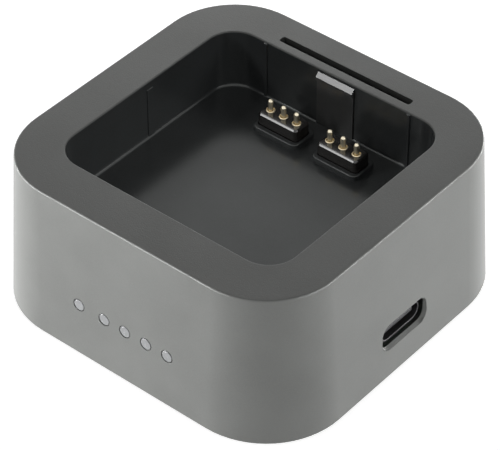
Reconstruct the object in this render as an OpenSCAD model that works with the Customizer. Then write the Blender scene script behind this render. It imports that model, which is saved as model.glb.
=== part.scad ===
// Battery charger with a square bay, six sprung contacts and a socket for a charging lead.
// Millimetres, +Z up. The origin is the centre of the base, on the surface that the feet stand on.
// The charge lights face -Y, the socket faces +X, and the latch is on the +Y side of the bay.

/* [Housing] */
// Width across the rim, along X
top_w = 56; // [52:0.5:64]
// Depth across the rim, along Y
top_d = 55; // [52:0.5:64]
// Height of the housing without its feet
body_h = 26; // [25:0.5:32]
// How far each side stands out further at the bottom than at the rim
flare = 1.6; // [0.4:0.1:2.4]
// Corner radius at the rim, seen from above
corner_r = 12; // [10:0.5:14]
// Small bevel between the rim and the sides
rim_bevel = 0.3; // [0.2:0.1:0.6]
// Thickness of the side walls
side_wall = 2; // [1.8:0.1:2.2]
// Gap between the housing and the surface it stands on
foot_gap = 0.4; // [0.3:0.1:0.8]

/* [Battery bay] */
// Width of the bay, along X
bay_w = 41.6; // [40:0.2:42.4]
// Depth of the bay, along Y
bay_d = 40; // [39:0.2:41]
// Corner radius of the bay
bay_r = 4.5; // [3:0.5:6]
// How far the bay's floor lies below the rim
bay_depth = 10.3; // [9.5:0.1:11]
// Thickness of the bay's walls
bay_wall = 1.6; // [1.2:0.1:1.8]
// Bevel where the floor meets the walls
bay_bevel = 0.5; // [0.3:0.1:0.8]

/* [Latch] */
// Width of the latch tongue
tongue_w = 6.9; // [6:0.1:9]
// Thickness of the latch tongue
tongue_t = 1.1; // [1:0.05:1.3]
// How far the hook reaches into the bay from its back wall
hook_out = 0.6; // [0.5:0.05:1]
// Length of the slot behind the bay
slot_l = 24.8; // [20:0.2:28]
// Width of the slot behind the bay
slot_w = 1.25; // [1:0.05:1.6]

/* [Contacts] */
// Distance from one contact pin to the next
pin_pitch = 2.54; // [2.5:0.02:2.6]
// Distance of the innermost pins from the middle of the bay
inner_pin_x = 3.2; // [3:0.1:3.6]
// Height of the contact blocks above the bay's floor
block_h = 3.1; // [2.5:0.1:3.5]
// Reach of a plunger above its contact block
plunger_reach = 2; // [1.8:0.1:2.4]
// Diameter of a plunger's shaft
plunger_d = 0.9; // [0.8:0.02:0.94]

/* [Charge lights] */
// Diameter of a light window
light_d = 1.9; // [1.5:0.1:2.2]
// Distance from one charge light to the next
light_pitch = 4; // [3.9:0.05:4.3]
// Distance from the status light at the left end to the first charge light
status_gap = 4.9; // [4:0.05:5]
// Height of the light windows above the housing's bottom edge
light_h = 9.1; // [8.8:0.1:9.6]

/* [Socket] */
// Width of the socket's hole in the housing
port_w = 10.2; // [9.8:0.1:10.8]
// Height of the socket's hole in the housing
port_h = 4.4; // [4.4:0.1:4.9]
// Height of the socket's centre above the housing's bottom edge
port_up = 7.3; // [7:0.1:7.6]

/* [Hidden] */

$fn = 64;
// How far a cutting shape reaches past a face, and a joined shape into its neighbour
cut = 1;
bury = 0.1;

gold = [0.83, 0.66, 0.32];
board_green = [0.1, 0.3, 0.18];
chip_black = [0.1, 0.1, 0.11];

// Heights, counted from the surface that the feet stand on
base_z = foot_gap;
rim_z = base_z + body_h;
floor_z = rim_z - bay_depth;
floor_t = 1.8;
under_z = floor_z - floor_t;
roof_t = 2;
roof_z = rim_z - roof_t;

// Base cover
cover_t = 1.8;
cover_lift = 0.2;
cover_low = base_z + cover_lift;
cover_top = cover_low + cover_t;
lip_wall = 1.2;
cover_gap = 0.1;
boss_r = 3;
boss_x = 22;
boss_y = 21.5;
pilot_depth = 9;
foot_r = 4;
foot_recess = 0.6;
foot_x = 16;
foot_y = 15.5;

// Corner screws
screw_r = 1.2;
screw_head_r = 2.3;
screw_head_h = 1.1;
screw_l = 8;
screw_fit = 0.02;
screw_play = 0.1;
pilot_r = screw_r + screw_fit;

// Battery bay
bay_y = 0.2;
bay_back = bay_y + bay_d / 2;
guide_rib_x = 13.65;
guide_rib_w = 0.6;
side_rib_w = 1.3;
rib_out = 0.25;
rib_drop = 1.2;
left_rib_y = 1.5;
right_rib_y = -9.1;

// Latch tongue and the window it stands in
tongue_proud = 0.25;
tongue_gap = 0.15;
tongue_front = bay_back - tongue_proud;
root_r = tongue_t / 2;
root_gap = 0.05;
root_y = tongue_front + root_r;
root_z = floor_z + 0.1;
tongue_top = rim_z - 0.6;
lintel_z = tongue_top + tongue_gap;
hook_drop = 0.75;
hook_nose = 0.5;
hook_under = 0.3;

// Contact blocks, their collars and their pins
block_y = bay_y + 14.65;
block_w = 3 * pin_pitch;
block_d = 3.4;
block_mid = inner_pin_x + pin_pitch;
block_bevel = 0.2;
block_r = 0.6;
block_gap = 0.1;
flange_out = 0.6;
flange_t = 1;
collar_h = 0.95;
collar_front = 0.9;
collar_side = 0.55;
collar_r = 1.1;
collar_bevel = 0.2;
block_low = under_z - flange_t;
block_top = floor_z + block_h;
pin_x = [for (s = [-1, 1], k = [-1:1]) s * block_mid + k * pin_pitch];
barrel_r = 0.75;
barrel_fit = 0.02;
barrel_bore = 0.56;
barrel_out = 0.1;
barrel_top = block_top + barrel_out;
barrel_floor = block_low + 0.6;
barrel_lip = 0.25;
lip_r = plunger_d / 2 + 0.04;
tail_r = 0.35;
tail_out = 0.4;
shoulder_r = barrel_bore - 0.03;
shoulder_h = 1.6;
shoulder_gap = 0.05;
shoulder_top = barrel_top - barrel_lip - shoulder_gap;
plunger_top = block_top + plunger_reach;
spring_r = 0.4;
wire_r = 0.08;
spring_turns = 8;
spring_gap = 0.03;

// Contact board
small_board_t = 1;
small_board_w = 29;
small_board_d = 8.6;
small_board_y = block_y - 0.9;
small_board_top = block_low;
small_board_low = small_board_top - small_board_t;
small_boss_x = 12.6;
small_boss_r = 1.9;
small_screw_r = 0.7;
small_head_r = 1.4;
small_head_h = 0.7;
small_screw_l = 3;
small_pilot_h = 2.2;

// Socket: a shell of the standard plug's outline, with a tongue in the middle
shell_w = 8.94;
shell_h = 3.26;
shell_t = 0.3;
shell_l = 7.3;
port_r = 1.6;
port_lip = 0.5;
port_room = 0.6;
socket_z = base_z + port_up;
socket_mouth = side_x(socket_z) - 0.85;
socket_back = socket_mouth - shell_l;
plug_tongue_w = 6.69;
plug_tongue_t = 0.7;
tongue_setback = 0.4;
contact_count = 12;
contact_pitch = 0.5;
contact_w = 0.25;
contact_t = 0.06;
contact_l = 3.4;
contact_setback = 0.4;
contact_leg = 0.8;
tab_w = 1;
tab_t = 0.3;
tab_in = [1.4, 5.2];
tab_reach = 0.6;
tab_gap = 0.2;

// Main board
board_t = 1.6;
board_top = socket_z - shell_h / 2;
board_low = board_top - board_t;
board_x = 25;
board_y = 17.5;
board_nose_x = 18;
board_nose_y = 24.5;
board_port_x = 26.6;
board_port_y = 8;
post_x = 21.8;
post_y = 13;
post_r = 2.2;
board_screw_r = 0.9;
board_head_r = 1.7;
board_head_h = 1;
board_screw_l = 4.4;
board_pilot_extra = 0.2;

// Header between the two boards
header_y = block_y - 3.6;
header_h = 2.5;
header_d = 2.5;
header_pin = 0.64;
header_reach = 0.5;
header_x = [for (k = [-2.5:2.5]) k * pin_pitch];
wire_hole_r = 0.5;

// Light guide and the chips under it
light_z = base_z + light_h;
light_gap = 0.1;
light_sunk = 0.25;
lights_w = status_gap + 3 * light_pitch;
light_x = concat([-lights_w / 2], [for (k = [3:-1:0]) lights_w / 2 - k * light_pitch]);
light_front = -side_y(light_z) + light_sunk;
guide_turn_y = -23.4;
guide_bend = 1.6;
chip_w = 2;
chip_d = 1.25;
chip_h = 0.8;
chip_gap = 0.3;
bar_t = 1.2;
bar_w = lights_w + light_d;
bar_gap = 0.4;
bar_y = -side_y(light_z) + side_wall + bar_gap;

// Charging circuit on the main board
coil_at = [-9, -3];
coil_r = 4.5;
coil_h = 5;
coil_flange = 0.9;
coil_core_r = 2.2;
coil_wind_r = 4;
pad_w = 10.4;
pad_t = 0.5;
cap_r = 3.15;
cap_h = 5.4;
cap_base = 6.6;
cap_base_t = 0.8;
input_cap_at = [12, -9];
output_cap_at = [12, 1];
controller_at = [2, -4];
controller_w = 4;
controller_h = 0.9;
micro_at = [-1, -15.5];
micro_w = 5;
micro_d = 4;
micro_h = 1.5;
micro_lift = 0.1;
leg_pitch = 1.27;
leg_w = 0.4;
leg_out = 0.9;
leg_t = 0.2;

// Half width of the housing at height z
function side_x(z) = top_w / 2 + flare * (rim_z - z) / body_h;
// Half depth of the housing at height z
function side_y(z) = top_d / 2 + flare * (rim_z - z) / body_h;

// A block with round corners whose sides lean: half sizes and corner radius at the bottom
// grow or shrink by lean towards the top, and the corner centres stay where they are
module leaning_block(half_x, half_y, r, z1, z2, lean) {
  cx = half_x - r;
  cy = half_y - r;
  for (x = [-cx, cx], y = [-cy, cy])
    translate([x, y, z1])
      cylinder(h = z2 - z1, r1 = r, r2 = r + lean);
  rotate([90, 0, 0])
    linear_extrude(height = 2 * cy, center = true)
      polygon([[-half_x, z1], [half_x, z1], [half_x + lean, z2], [-half_x - lean, z2]]);
  rotate([90, 0, 90])
    linear_extrude(height = 2 * cx, center = true)
      polygon([[-half_y, z1], [half_y, z1], [half_y + lean, z2], [-half_y - lean, z2]]);
}

// A slice of the housing's flared form between two heights, set in from its outside
module flared_slice(inset, z1, z2) {
  out1 = flare * (rim_z - z1) / body_h;
  out2 = flare * (rim_z - z2) / body_h;
  leaning_block(top_w / 2 + out1 - inset, top_d / 2 + out1 - inset, corner_r + out1 - inset,
    z1, z2, out2 - out1);
}

// An upright block with round corners, centred on the bay
module bay_block(grow, z1, z2) {
  translate([0, bay_y, 0])
    leaning_block(bay_w / 2 + grow, bay_d / 2 + grow, bay_r + grow, z1, z2, 0);
}

module at_corners(x, y) {
  for (sx = [-1, 1], sy = [-1, 1])
    translate([sx * x, sy * y, 0])
      children();
}

// A screw standing head down, with a cross recess in its head: neck_r is the head's radius
// where it meets the shank, so a countersunk head has a neck as thin as the shank
module screw(r, l, head_r, head_h, neck_r) {
  recess_l = head_r * 1.1;
  recess_w = head_r * 0.2;
  recess_h = head_h * 0.55;
  difference() {
    union() {
      cylinder(h = head_h, r1 = head_r, r2 = neck_r);
      cylinder(h = l, r = r);
    }
    for (a = [0, 90])
      rotate([0, 0, a])
        translate([-recess_l / 2, -recess_w / 2, -cut])
          cube([recess_l, recess_w, cut + recess_h]);
  }
}

// A bar along +Y with an oblong section w wide and h high, its corners rounded by r
module oblong(w, h, r, depth) {
  for (x = [-w / 2 + r, w / 2 - r], z = [-h / 2 + r, h / 2 - r])
    translate([x, 0, z])
      rotate([-90, 0, 0])
        cylinder(h = depth, r = r);
  translate([-w / 2 + r, 0, -h / 2])
    cube([w - 2 * r, depth, h]);
  if (h > 2 * r)
    translate([-w / 2, 0, -h / 2 + r])
      cube([w, depth, h - 2 * r]);
}

// Housing: outside form with its small rim bevel
module housing_outside() {
  flared_slice(0, base_z, rim_z - rim_bevel);
  leaning_block(side_x(rim_z - rim_bevel), side_y(rim_z - rim_bevel),
    corner_r + flare * rim_bevel / body_h, rim_z - rim_bevel, rim_z, -rim_bevel);
}

// Housing: the room under the roof, with a wider step below for the base cover
module housing_room() {
  flared_slice(side_wall, cover_top - cut, roof_z);
  flared_slice(lip_wall, base_z - cut, cover_top);
}

// Housing: what hangs in the room
module housing_inside() {
  bay_block(bay_wall, under_z, rim_z - roof_t / 2);
  at_corners(boss_x, boss_y)
    translate([0, 0, cover_top])
      cylinder(h = roof_z - cover_top + roof_t / 2, r = boss_r);
  for (x = [-small_boss_x, small_boss_x])
    translate([x, block_y, block_low])
      cylinder(h = flange_t + floor_t / 2, r = small_boss_r);
}

// Housing: the bay, with a bevel round its floor
module bay_cavity() {
  translate([0, bay_y, 0])
    leaning_block(bay_w / 2 - bay_bevel, bay_d / 2 - bay_bevel, bay_r - bay_bevel,
      floor_z, floor_z + bay_bevel, bay_bevel);
  bay_block(0, floor_z + bay_bevel, rim_z + cut);
}

// Housing: the window that the latch tongue stands in, and the groove under its root
module latch_window() {
  window_w = tongue_w + 2 * tongue_gap;
  translate([-window_w / 2, tongue_front - root_gap, root_z])
    cube([window_w, bay_back + bay_wall + bury - tongue_front + root_gap, lintel_z - root_z]);
  translate([0, root_y, root_z])
    rotate([0, 90, 0])
      cylinder(h = window_w, r = root_r + root_gap, center = true);
  translate([-slot_l / 2, bay_back + bay_wall, roof_z - cut])
    cube([slot_l, slot_w, roof_t + 2 * cut]);
}

// Housing: upright ribs on the bay's walls that centre the battery
module bay_ribs() {
  rib_h = bay_depth - rib_drop;
  for (x = [-guide_rib_x, guide_rib_x])
    translate([x - guide_rib_w / 2, bay_back - rib_out, floor_z - bury])
      cube([guide_rib_w, rib_out + bury, bay_depth]);
  translate([-bay_w / 2 - bury, left_rib_y - side_rib_w / 2, floor_z - bury])
    cube([rib_out + bury, side_rib_w, rib_h]);
  translate([bay_w / 2 - rib_out, right_rib_y - side_rib_w / 2, floor_z - bury])
    cube([rib_out + bury, side_rib_w, rib_h]);
}

// Housing: the stepped collar round a contact block
module collar(side) {
  half_w = block_w / 2 + collar_side;
  half_d = block_d / 2 + collar_front;
  top = floor_z + collar_h;
  translate([side * block_mid, block_y, 0]) {
    leaning_block(half_w, half_d, collar_r, floor_z - bury, top - collar_bevel, 0);
    leaning_block(half_w, half_d, collar_r, top - collar_bevel, top, -collar_bevel);
  }
}

// Housing: the hole in the floor that a contact block stands in
module block_hole(side) {
  translate([side * block_mid, block_y, 0])
    leaning_block(block_w / 2 + block_gap, block_d / 2 + block_gap, block_r + block_gap,
      under_z - cut, floor_z + collar_h + cut, 0);
}

module housing() {
  color("dimgray")
    difference() {
      union() {
        difference() {
          union() {
            difference() {
              housing_outside();
              housing_room();
            }
            housing_inside();
          }
          bay_cavity();
        }
        bay_ribs();
        for (side = [-1, 1])
          collar(side);
      }
      latch_window();
      for (side = [-1, 1])
        block_hole(side);
      at_corners(boss_x, boss_y)
        translate([0, 0, cover_top - cut])
          cylinder(h = pilot_depth + cut, r = pilot_r);
      for (x = [-small_boss_x, small_boss_x])
        translate([x, block_y, block_low - cut])
          cylinder(h = small_pilot_h + cut, r = small_screw_r + screw_fit);
      for (x = light_x)
        translate([x, -side_y(light_z) - cut, light_z])
          rotate([-90, 0, 0])
            cylinder(h = side_wall + 2 * cut, r = light_d / 2 + light_gap);
      translate([side_x(socket_z) + cut, 0, socket_z])
        rotate([0, 0, 90])
          oblong(port_w, port_h, port_r, side_wall + 2 * cut);
      translate([side_x(socket_z) - port_lip, 0, socket_z])
        rotate([0, 0, 90])
          oblong(port_w + 2 * port_room, port_h + 2 * port_room, port_r + port_room, side_wall + cut);
    }
}

// A bar along +Y whose section is an oblong with half-round ends
module rounded_bar(w, h, depth) {
  for (x = [-w / 2 + h / 2, w / 2 - h / 2])
    translate([x, 0, 0])
      rotate([-90, 0, 0])
        cylinder(h = depth, r = h / 2);
  translate([-w / 2 + h / 2, 0, -h / 2])
    cube([w - h, depth, h]);
}

module base_cover() {
  color("dimgray")
    difference() {
      union() {
        flared_slice(lip_wall + cover_gap, cover_low, cover_top);
        at_corners(post_x, post_y)
          translate([0, 0, cover_top - bury])
            cylinder(h = board_low - cover_top + bury, r = post_r);
      }
      at_corners(boss_x, boss_y)
        translate([0, 0, cover_low]) {
          translate([0, 0, -cut])
            cylinder(h = cover_t + 2 * cut, r = screw_r + screw_play);
          cylinder(h = screw_head_h + screw_play, r1 = screw_head_r + screw_play, r2 = screw_r + screw_play);
        }
      at_corners(foot_x, foot_y)
        translate([0, 0, cover_low - cut])
          cylinder(h = foot_recess + cut, r = foot_r + screw_play);
      at_corners(post_x, post_y)
        translate([0, 0, board_low - board_screw_l + board_t - board_pilot_extra])
          cylinder(h = board_screw_l + cut, r = board_screw_r + screw_fit);
    }
}

module base_screws() {
  color("silver")
    at_corners(boss_x, boss_y)
      translate([0, 0, cover_low + screw_play])
        screw(screw_r, screw_l, screw_head_r, screw_head_h, screw_r);
}

module rubber_foot(i) {
  side = i < 3 ? -1 : 1;
  end = i % 2 == 1 ? -1 : 1;
  foot_h = cover_low + foot_recess;
  foot_edge = 0.25;
  color("black")
    translate([side * foot_x, end * foot_y, 0]) {
      cylinder(h = foot_edge, r1 = foot_r - foot_edge, r2 = foot_r);
      translate([0, 0, foot_edge])
        cylinder(h = foot_h - foot_edge, r = foot_r);
    }
}

// The tongue's side view, drawn in Y and Z, stretched along X
module latch_tongue() {
  back = tongue_front + tongue_t;
  nose = bay_back - hook_out;
  nose_top = tongue_top - hook_drop;
  nose_low = nose_top - hook_nose;
  color("dimgray") {
    rotate([90, 0, 90])
      linear_extrude(height = tongue_w, center = true)
        polygon([
          [back, root_z], [back, tongue_top], [bay_back, tongue_top], [nose, nose_top],
          [nose, nose_low], [tongue_front, nose_low - hook_under], [tongue_front, root_z]
        ]);
    translate([0, root_y, root_z])
      rotate([0, 90, 0])
        cylinder(h = tongue_w, r = root_r, center = true);
  }
}

module contact_block(side) {
  flange_w = block_w + 2 * flange_out;
  flange_d = block_d + 2 * flange_out;
  color([0.12, 0.12, 0.13])
    difference() {
      translate([side * block_mid, block_y, 0]) {
        leaning_block(block_w / 2, block_d / 2, block_r, block_low, block_top - block_bevel, 0);
        leaning_block(block_w / 2, block_d / 2, block_r, block_top - block_bevel, block_top, -block_bevel);
        translate([-flange_w / 2, -flange_d / 2, block_low])
          cube([flange_w, flange_d, flange_t]);
      }
      for (k = [-1:1])
        translate([side * block_mid + k * pin_pitch, block_y, block_low - cut])
          cylinder(h = block_top - block_low + 2 * cut, r = barrel_r + barrel_fit);
    }
}

module pin_barrel(i) {
  color(gold)
    translate([pin_x[i - 1], block_y, 0])
      difference() {
        union() {
          translate([0, 0, block_low])
            cylinder(h = barrel_top - block_low, r = barrel_r);
          translate([0, 0, small_board_low - tail_out])
            cylinder(h = small_board_t + tail_out + bury, r = tail_r);
        }
        translate([0, 0, barrel_floor])
          cylinder(h = barrel_top - barrel_lip - barrel_floor, r = barrel_bore);
        translate([0, 0, barrel_floor])
          cylinder(h = barrel_top - barrel_floor + cut, r = lip_r);
      }
}

module pin_plunger(i) {
  shaft_r = plunger_d / 2;
  color([0.9, 0.76, 0.42])
    translate([pin_x[i - 1], block_y, 0]) {
      translate([0, 0, shoulder_top - shoulder_h])
        cylinder(h = shoulder_h, r = shoulder_r);
      translate([0, 0, shoulder_top - bury])
        cylinder(h = plunger_top - shaft_r - shoulder_top + bury, r = shaft_r);
      translate([0, 0, plunger_top - shaft_r])
        sphere(r = shaft_r);
    }
}

// Centre line of a contact spring at angle a, its wire clear of both ends
function spring_centre(a) =
  let (low = barrel_floor + spring_gap + wire_r)
  let (high = shoulder_top - shoulder_h - spring_gap - wire_r)
  [spring_r * cos(a), spring_r * sin(a), low + (high - low) * a / (360 * spring_turns)];

// One ring of points round the spring's wire at angle a
function wire_ring(a, sides) =
  [for (k = [0:sides - 1])
    let (b = 360 * k / sides)
    let (out = wire_r * cos(b))
    spring_centre(a) + [out * cos(a), out * sin(a), wire_r * sin(b)]];

module pin_spring(i) {
  steps = 10;
  sides = 5;
  last = steps * spring_turns;
  points = [for (k = [0:last]) each wire_ring(360 * k / steps, sides)];
  walls = [for (k = [0:last - 1], j = [0:sides - 1])
    let (a = k * sides + j)
    let (b = k * sides + (j + 1) % sides)
    [a, a + sides, b + sides, b]];
  first_end = [for (j = [0:sides - 1]) j];
  last_end = [for (j = [sides - 1:-1:0]) last * sides + j];
  color("silver")
    translate([pin_x[i - 1], block_y, 0])
      polyhedron(points, concat(walls, [first_end, last_end]));
}

module contact_board() {
  color(board_green)
    difference() {
      translate([-small_board_w / 2, small_board_y - small_board_d / 2, small_board_low])
        cube([small_board_w, small_board_d, small_board_t]);
      for (x = pin_x)
        translate([x, block_y, small_board_low - cut])
          cylinder(h = small_board_t + 2 * cut, r = tail_r + screw_play);
      for (x = header_x)
        translate([x, header_y, small_board_low - cut])
          cylinder(h = small_board_t + 2 * cut, r = wire_hole_r);
      for (x = [-small_boss_x, small_boss_x])
        translate([x, block_y, small_board_low - cut])
          cylinder(h = small_board_t + 2 * cut, r = small_screw_r + screw_play);
    }
}

module contact_board_screws() {
  color("silver")
    for (x = [-small_boss_x, small_boss_x])
      translate([x, block_y, small_board_low - small_head_h])
        screw(small_screw_r, small_head_h + small_screw_l, small_head_r, small_head_h, small_head_r);
}

module header_insulator() {
  w = len(header_x) * pin_pitch;
  color([0.08, 0.08, 0.09])
    difference() {
      translate([-w / 2, header_y - header_d / 2, board_top])
        cube([w, header_d, header_h]);
      for (x = header_x)
        translate([x - header_pin / 2 - screw_fit, header_y - header_pin / 2 - screw_fit, board_top - cut])
          cube([header_pin + 2 * screw_fit, header_pin + 2 * screw_fit, header_h + 2 * cut]);
    }
}

module header_pins() {
  low = board_low - header_reach;
  high = small_board_top + header_reach;
  color(gold)
    for (x = header_x)
      translate([x - header_pin / 2, header_y - header_pin / 2, low])
        cube([header_pin, header_pin, high - low]);
}

module main_board() {
  color(board_green)
    difference() {
      union() {
        translate([-board_x, -board_y, board_low])
          cube([2 * board_x, 2 * board_y, board_t]);
        translate([-board_nose_x, -board_nose_y, board_low])
          cube([2 * board_nose_x, 2 * board_nose_y, board_t]);
        translate([0, -board_port_y, board_low])
          cube([board_port_x, 2 * board_port_y, board_t]);
      }
      at_corners(post_x, post_y)
        translate([0, 0, board_low - cut])
          cylinder(h = board_t + 2 * cut, r = board_screw_r + screw_play);
      for (x = header_x)
        translate([x, header_y, board_low - cut])
          cylinder(h = board_t + 2 * cut, r = wire_hole_r);
      socket_tabs(tab_gap, board_low - cut, board_top + cut);
    }
}

module main_board_screws() {
  color("silver")
    at_corners(post_x, post_y)
      translate([0, 0, board_top + board_head_h])
        mirror([0, 0, 1])
          screw(board_screw_r, board_head_h + board_screw_l, board_head_r, board_head_h, board_head_r);
}

// The four tabs that hold the socket's shell in the main board, grown by a gap
module socket_tabs(gap, low, high) {
  tab_y = shell_w / 2 - tab_t / 2;
  for (x = tab_in, side = [-1, 1])
    translate([socket_mouth - x - tab_w - gap, side * tab_y - tab_t / 2 - gap, low])
      cube([tab_w + 2 * gap, tab_t + 2 * gap, high - low]);
}

module socket_shell() {
  color("silver") {
    translate([socket_mouth, 0, socket_z])
      rotate([0, 0, 90])
        difference() {
          rounded_bar(shell_w, shell_h, shell_l);
          translate([0, -cut, 0])
            rounded_bar(shell_w - 2 * shell_t, shell_h - 2 * shell_t, shell_l + 2 * cut);
        }
    socket_tabs(0, board_low - tab_reach, socket_z);
  }
}

module socket_insulator() {
  body_l = 2.2;
  room = 2 * (shell_t + screw_fit);
  color([0.16, 0.16, 0.17])
    translate([socket_back, 0, socket_z]) {
      rotate([0, 0, -90])
        rounded_bar(shell_w - room, shell_h - room, body_l);
      translate([body_l - bury, -plug_tongue_w / 2, -plug_tongue_t / 2])
        cube([shell_l - tongue_setback - body_l + bury, plug_tongue_w, plug_tongue_t]);
    }
}

module socket_contacts() {
  front = socket_mouth - tongue_setback - contact_setback;
  color(gold)
    for (k = [0:contact_count - 1]) {
      y = (k - (contact_count - 1) / 2) * contact_pitch - contact_w / 2;
      for (z = [plug_tongue_t / 2, -plug_tongue_t / 2 - contact_t])
        translate([front - contact_l, y, socket_z + z])
          cube([contact_l, contact_w, contact_t]);
      translate([socket_back - contact_leg, y, board_top])
        cube([contact_leg, contact_w, leg_t]);
    }
}

module light_guide() {
  chip_top = board_top + chip_h + chip_gap;
  bend_y = guide_turn_y - guide_bend;
  color([0.85, 0.86, 0.88]) {
    for (x = light_x) {
      translate([x, light_front, light_z])
        rotate([-90, 0, 0])
          cylinder(h = bend_y - light_front, r = light_d / 2);
      translate([x, bend_y, light_z - guide_bend])
        rotate([90, 0, 90])
          rotate_extrude(angle = 90)
            translate([guide_bend, 0])
              circle(r = light_d / 2);
      translate([x, guide_turn_y, chip_top])
        cylinder(h = light_z - guide_bend - chip_top, r = light_d / 2);
    }
    translate([-bar_w / 2, bar_y, light_z - bar_t / 2])
      cube([bar_w, bar_t, bar_t]);
  }
}

module light_chip(i) {
  color("white")
    translate([light_x[i - 1] - chip_w / 2, guide_turn_y - chip_d / 2, board_top])
      cube([chip_w, chip_d, chip_h]);
}

module inductor_core() {
  color([0.2, 0.2, 0.21])
    translate([coil_at[0], coil_at[1], board_top]) {
      translate([-pad_w / 2, -pad_w / 2, 0])
        cube([pad_w, pad_w, pad_t]);
      translate([0, 0, pad_t]) {
        cylinder(h = coil_flange, r = coil_r);
        cylinder(h = coil_h, r = coil_core_r);
        translate([0, 0, coil_h - coil_flange])
          cylinder(h = coil_flange, r = coil_r);
      }
    }
}

module inductor_coil() {
  gap = 0.05;
  wind_h = coil_h - 2 * coil_flange - 2 * gap;
  color([0.72, 0.4, 0.2])
    translate([coil_at[0], coil_at[1], board_top + pad_t + coil_flange + gap])
      difference() {
        cylinder(h = wind_h, r = coil_wind_r);
        translate([0, 0, -cut])
          cylinder(h = wind_h + 2 * cut, r = coil_core_r + gap);
      }
}

module charge_controller() {
  color(chip_black)
    translate([controller_at[0], controller_at[1], board_top])
      translate([-controller_w / 2, -controller_w / 2, 0])
        cube([controller_w, controller_w, controller_h]);
}

module microcontroller() {
  color(chip_black)
    translate([micro_at[0], micro_at[1], board_top]) {
      translate([-micro_w / 2, -micro_d / 2, micro_lift])
        cube([micro_w, micro_d, micro_h]);
      for (k = [-1.5:1.5], side = [-1, 1])
        translate([k * leg_pitch - leg_w / 2, side < 0 ? -micro_d / 2 - leg_out : micro_d / 2 - bury, 0])
          cube([leg_w, leg_out + bury, leg_t]);
    }
}

module capacitor(at) {
  color("silver")
    translate([at[0], at[1], board_top]) {
      translate([-cap_base / 2, -cap_base / 2, 0])
        cube([cap_base, cap_base, cap_base_t]);
      translate([0, 0, cap_base_t])
        cylinder(h = cap_h, r = cap_r);
    }
}

housing();
base_cover();
base_screws();
latch_tongue();
for (i = [1:4])
  rubber_foot(i);
contact_block(-1);  // contact_block_left
contact_block(1);  // contact_block_right
for (i = [1:6])
  pin_barrel(i);
for (i = [1:6])
  pin_plunger(i);
for (i = [1:6])
  pin_spring(i);
contact_board();
contact_board_screws();
header_insulator();
header_pins();
main_board();
main_board_screws();
socket_shell();
socket_insulator();
socket_contacts();
light_guide();
for (i = [1:5])
  light_chip(i);
inductor_core();
inductor_coil();
charge_controller();
microcontroller();
capacitor(input_cap_at);  // input_capacitor
capacitor(output_cap_at);  // output_capacitor
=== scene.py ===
"""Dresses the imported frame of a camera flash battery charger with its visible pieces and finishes.

Meshes are shaped in millimetres and brought to metres when a piece is finished.
"""
import sys
import logging
import math
from collections.abc import Callable, Sequence
from dataclasses import dataclass, field
from enum import Enum

import bmesh
import bpy
from bpy.types import Node, NodeSocket, NodeTree, Object
from mathutils import Matrix, Vector


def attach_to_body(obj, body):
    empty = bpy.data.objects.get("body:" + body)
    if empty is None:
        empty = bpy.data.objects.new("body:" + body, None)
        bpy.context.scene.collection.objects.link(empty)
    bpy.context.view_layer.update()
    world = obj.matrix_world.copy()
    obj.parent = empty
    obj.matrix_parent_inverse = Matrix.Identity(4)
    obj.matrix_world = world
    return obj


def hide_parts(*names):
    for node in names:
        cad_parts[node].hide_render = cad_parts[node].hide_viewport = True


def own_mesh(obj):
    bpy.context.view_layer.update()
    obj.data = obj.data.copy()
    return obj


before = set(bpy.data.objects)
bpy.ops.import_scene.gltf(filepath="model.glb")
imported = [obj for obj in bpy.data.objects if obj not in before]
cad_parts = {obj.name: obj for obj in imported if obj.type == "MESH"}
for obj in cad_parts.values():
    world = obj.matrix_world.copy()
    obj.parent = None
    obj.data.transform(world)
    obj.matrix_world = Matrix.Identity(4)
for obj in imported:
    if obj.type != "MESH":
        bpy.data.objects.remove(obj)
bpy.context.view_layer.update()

log = logging.getLogger("charger")

MILLIMETRE = 0.001  # metres
NEAR = 0.02  # how close two lengths in millimetres count as the same
FADE = 0.0001  # metres over which a finish changes at a box's side
MERGE = 0.0001  # doubles closer than this many millimetres are merged
SMALL = 1e-6  # an inset below this is none
Test = Callable[[Vector], bool]
Steps = Sequence[tuple[float, float]]
Profile = list[tuple[float, float]]
Place = Sequence[float]


class Pick(Enum):
    """What is selected in edit mode."""

    VERTS = "VERT"
    EDGES = "EDGE"
    FACES = "FACE"


class Side(Enum):
    """The two sides of the object's middle, by their sign."""

    LEFT = -1
    RIGHT = 1


# ---- modelling steps -------------------------------------------------------


def deselect() -> None:
    """Return to object mode with nothing selected."""
    if bpy.context.object and bpy.context.object.mode != "OBJECT":
        bpy.ops.object.mode_set(mode="OBJECT")
    bpy.ops.object.select_all(action="DESELECT")


def activate(piece: Object) -> None:
    """Select one object alone and make it the active one."""
    deselect()
    piece.select_set(True)
    bpy.context.view_layer.objects.active = piece


def settle(piece: Object) -> None:
    """Move an object's place, turn and scale into its mesh."""
    activate(piece)
    bpy.ops.object.transform_apply(location=True, rotation=True, scale=True)


def edit(piece: Object, kind: Pick = Pick.FACES) -> None:
    """Enter edit mode with nothing selected."""
    activate(piece)
    bpy.ops.object.mode_set(mode="EDIT")
    bpy.ops.mesh.select_mode(type=kind.value)
    bpy.ops.mesh.select_all(action="DESELECT")


def select_all() -> None:
    """Select the whole mesh in edit mode."""
    bpy.ops.mesh.select_all(action="SELECT")


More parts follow.
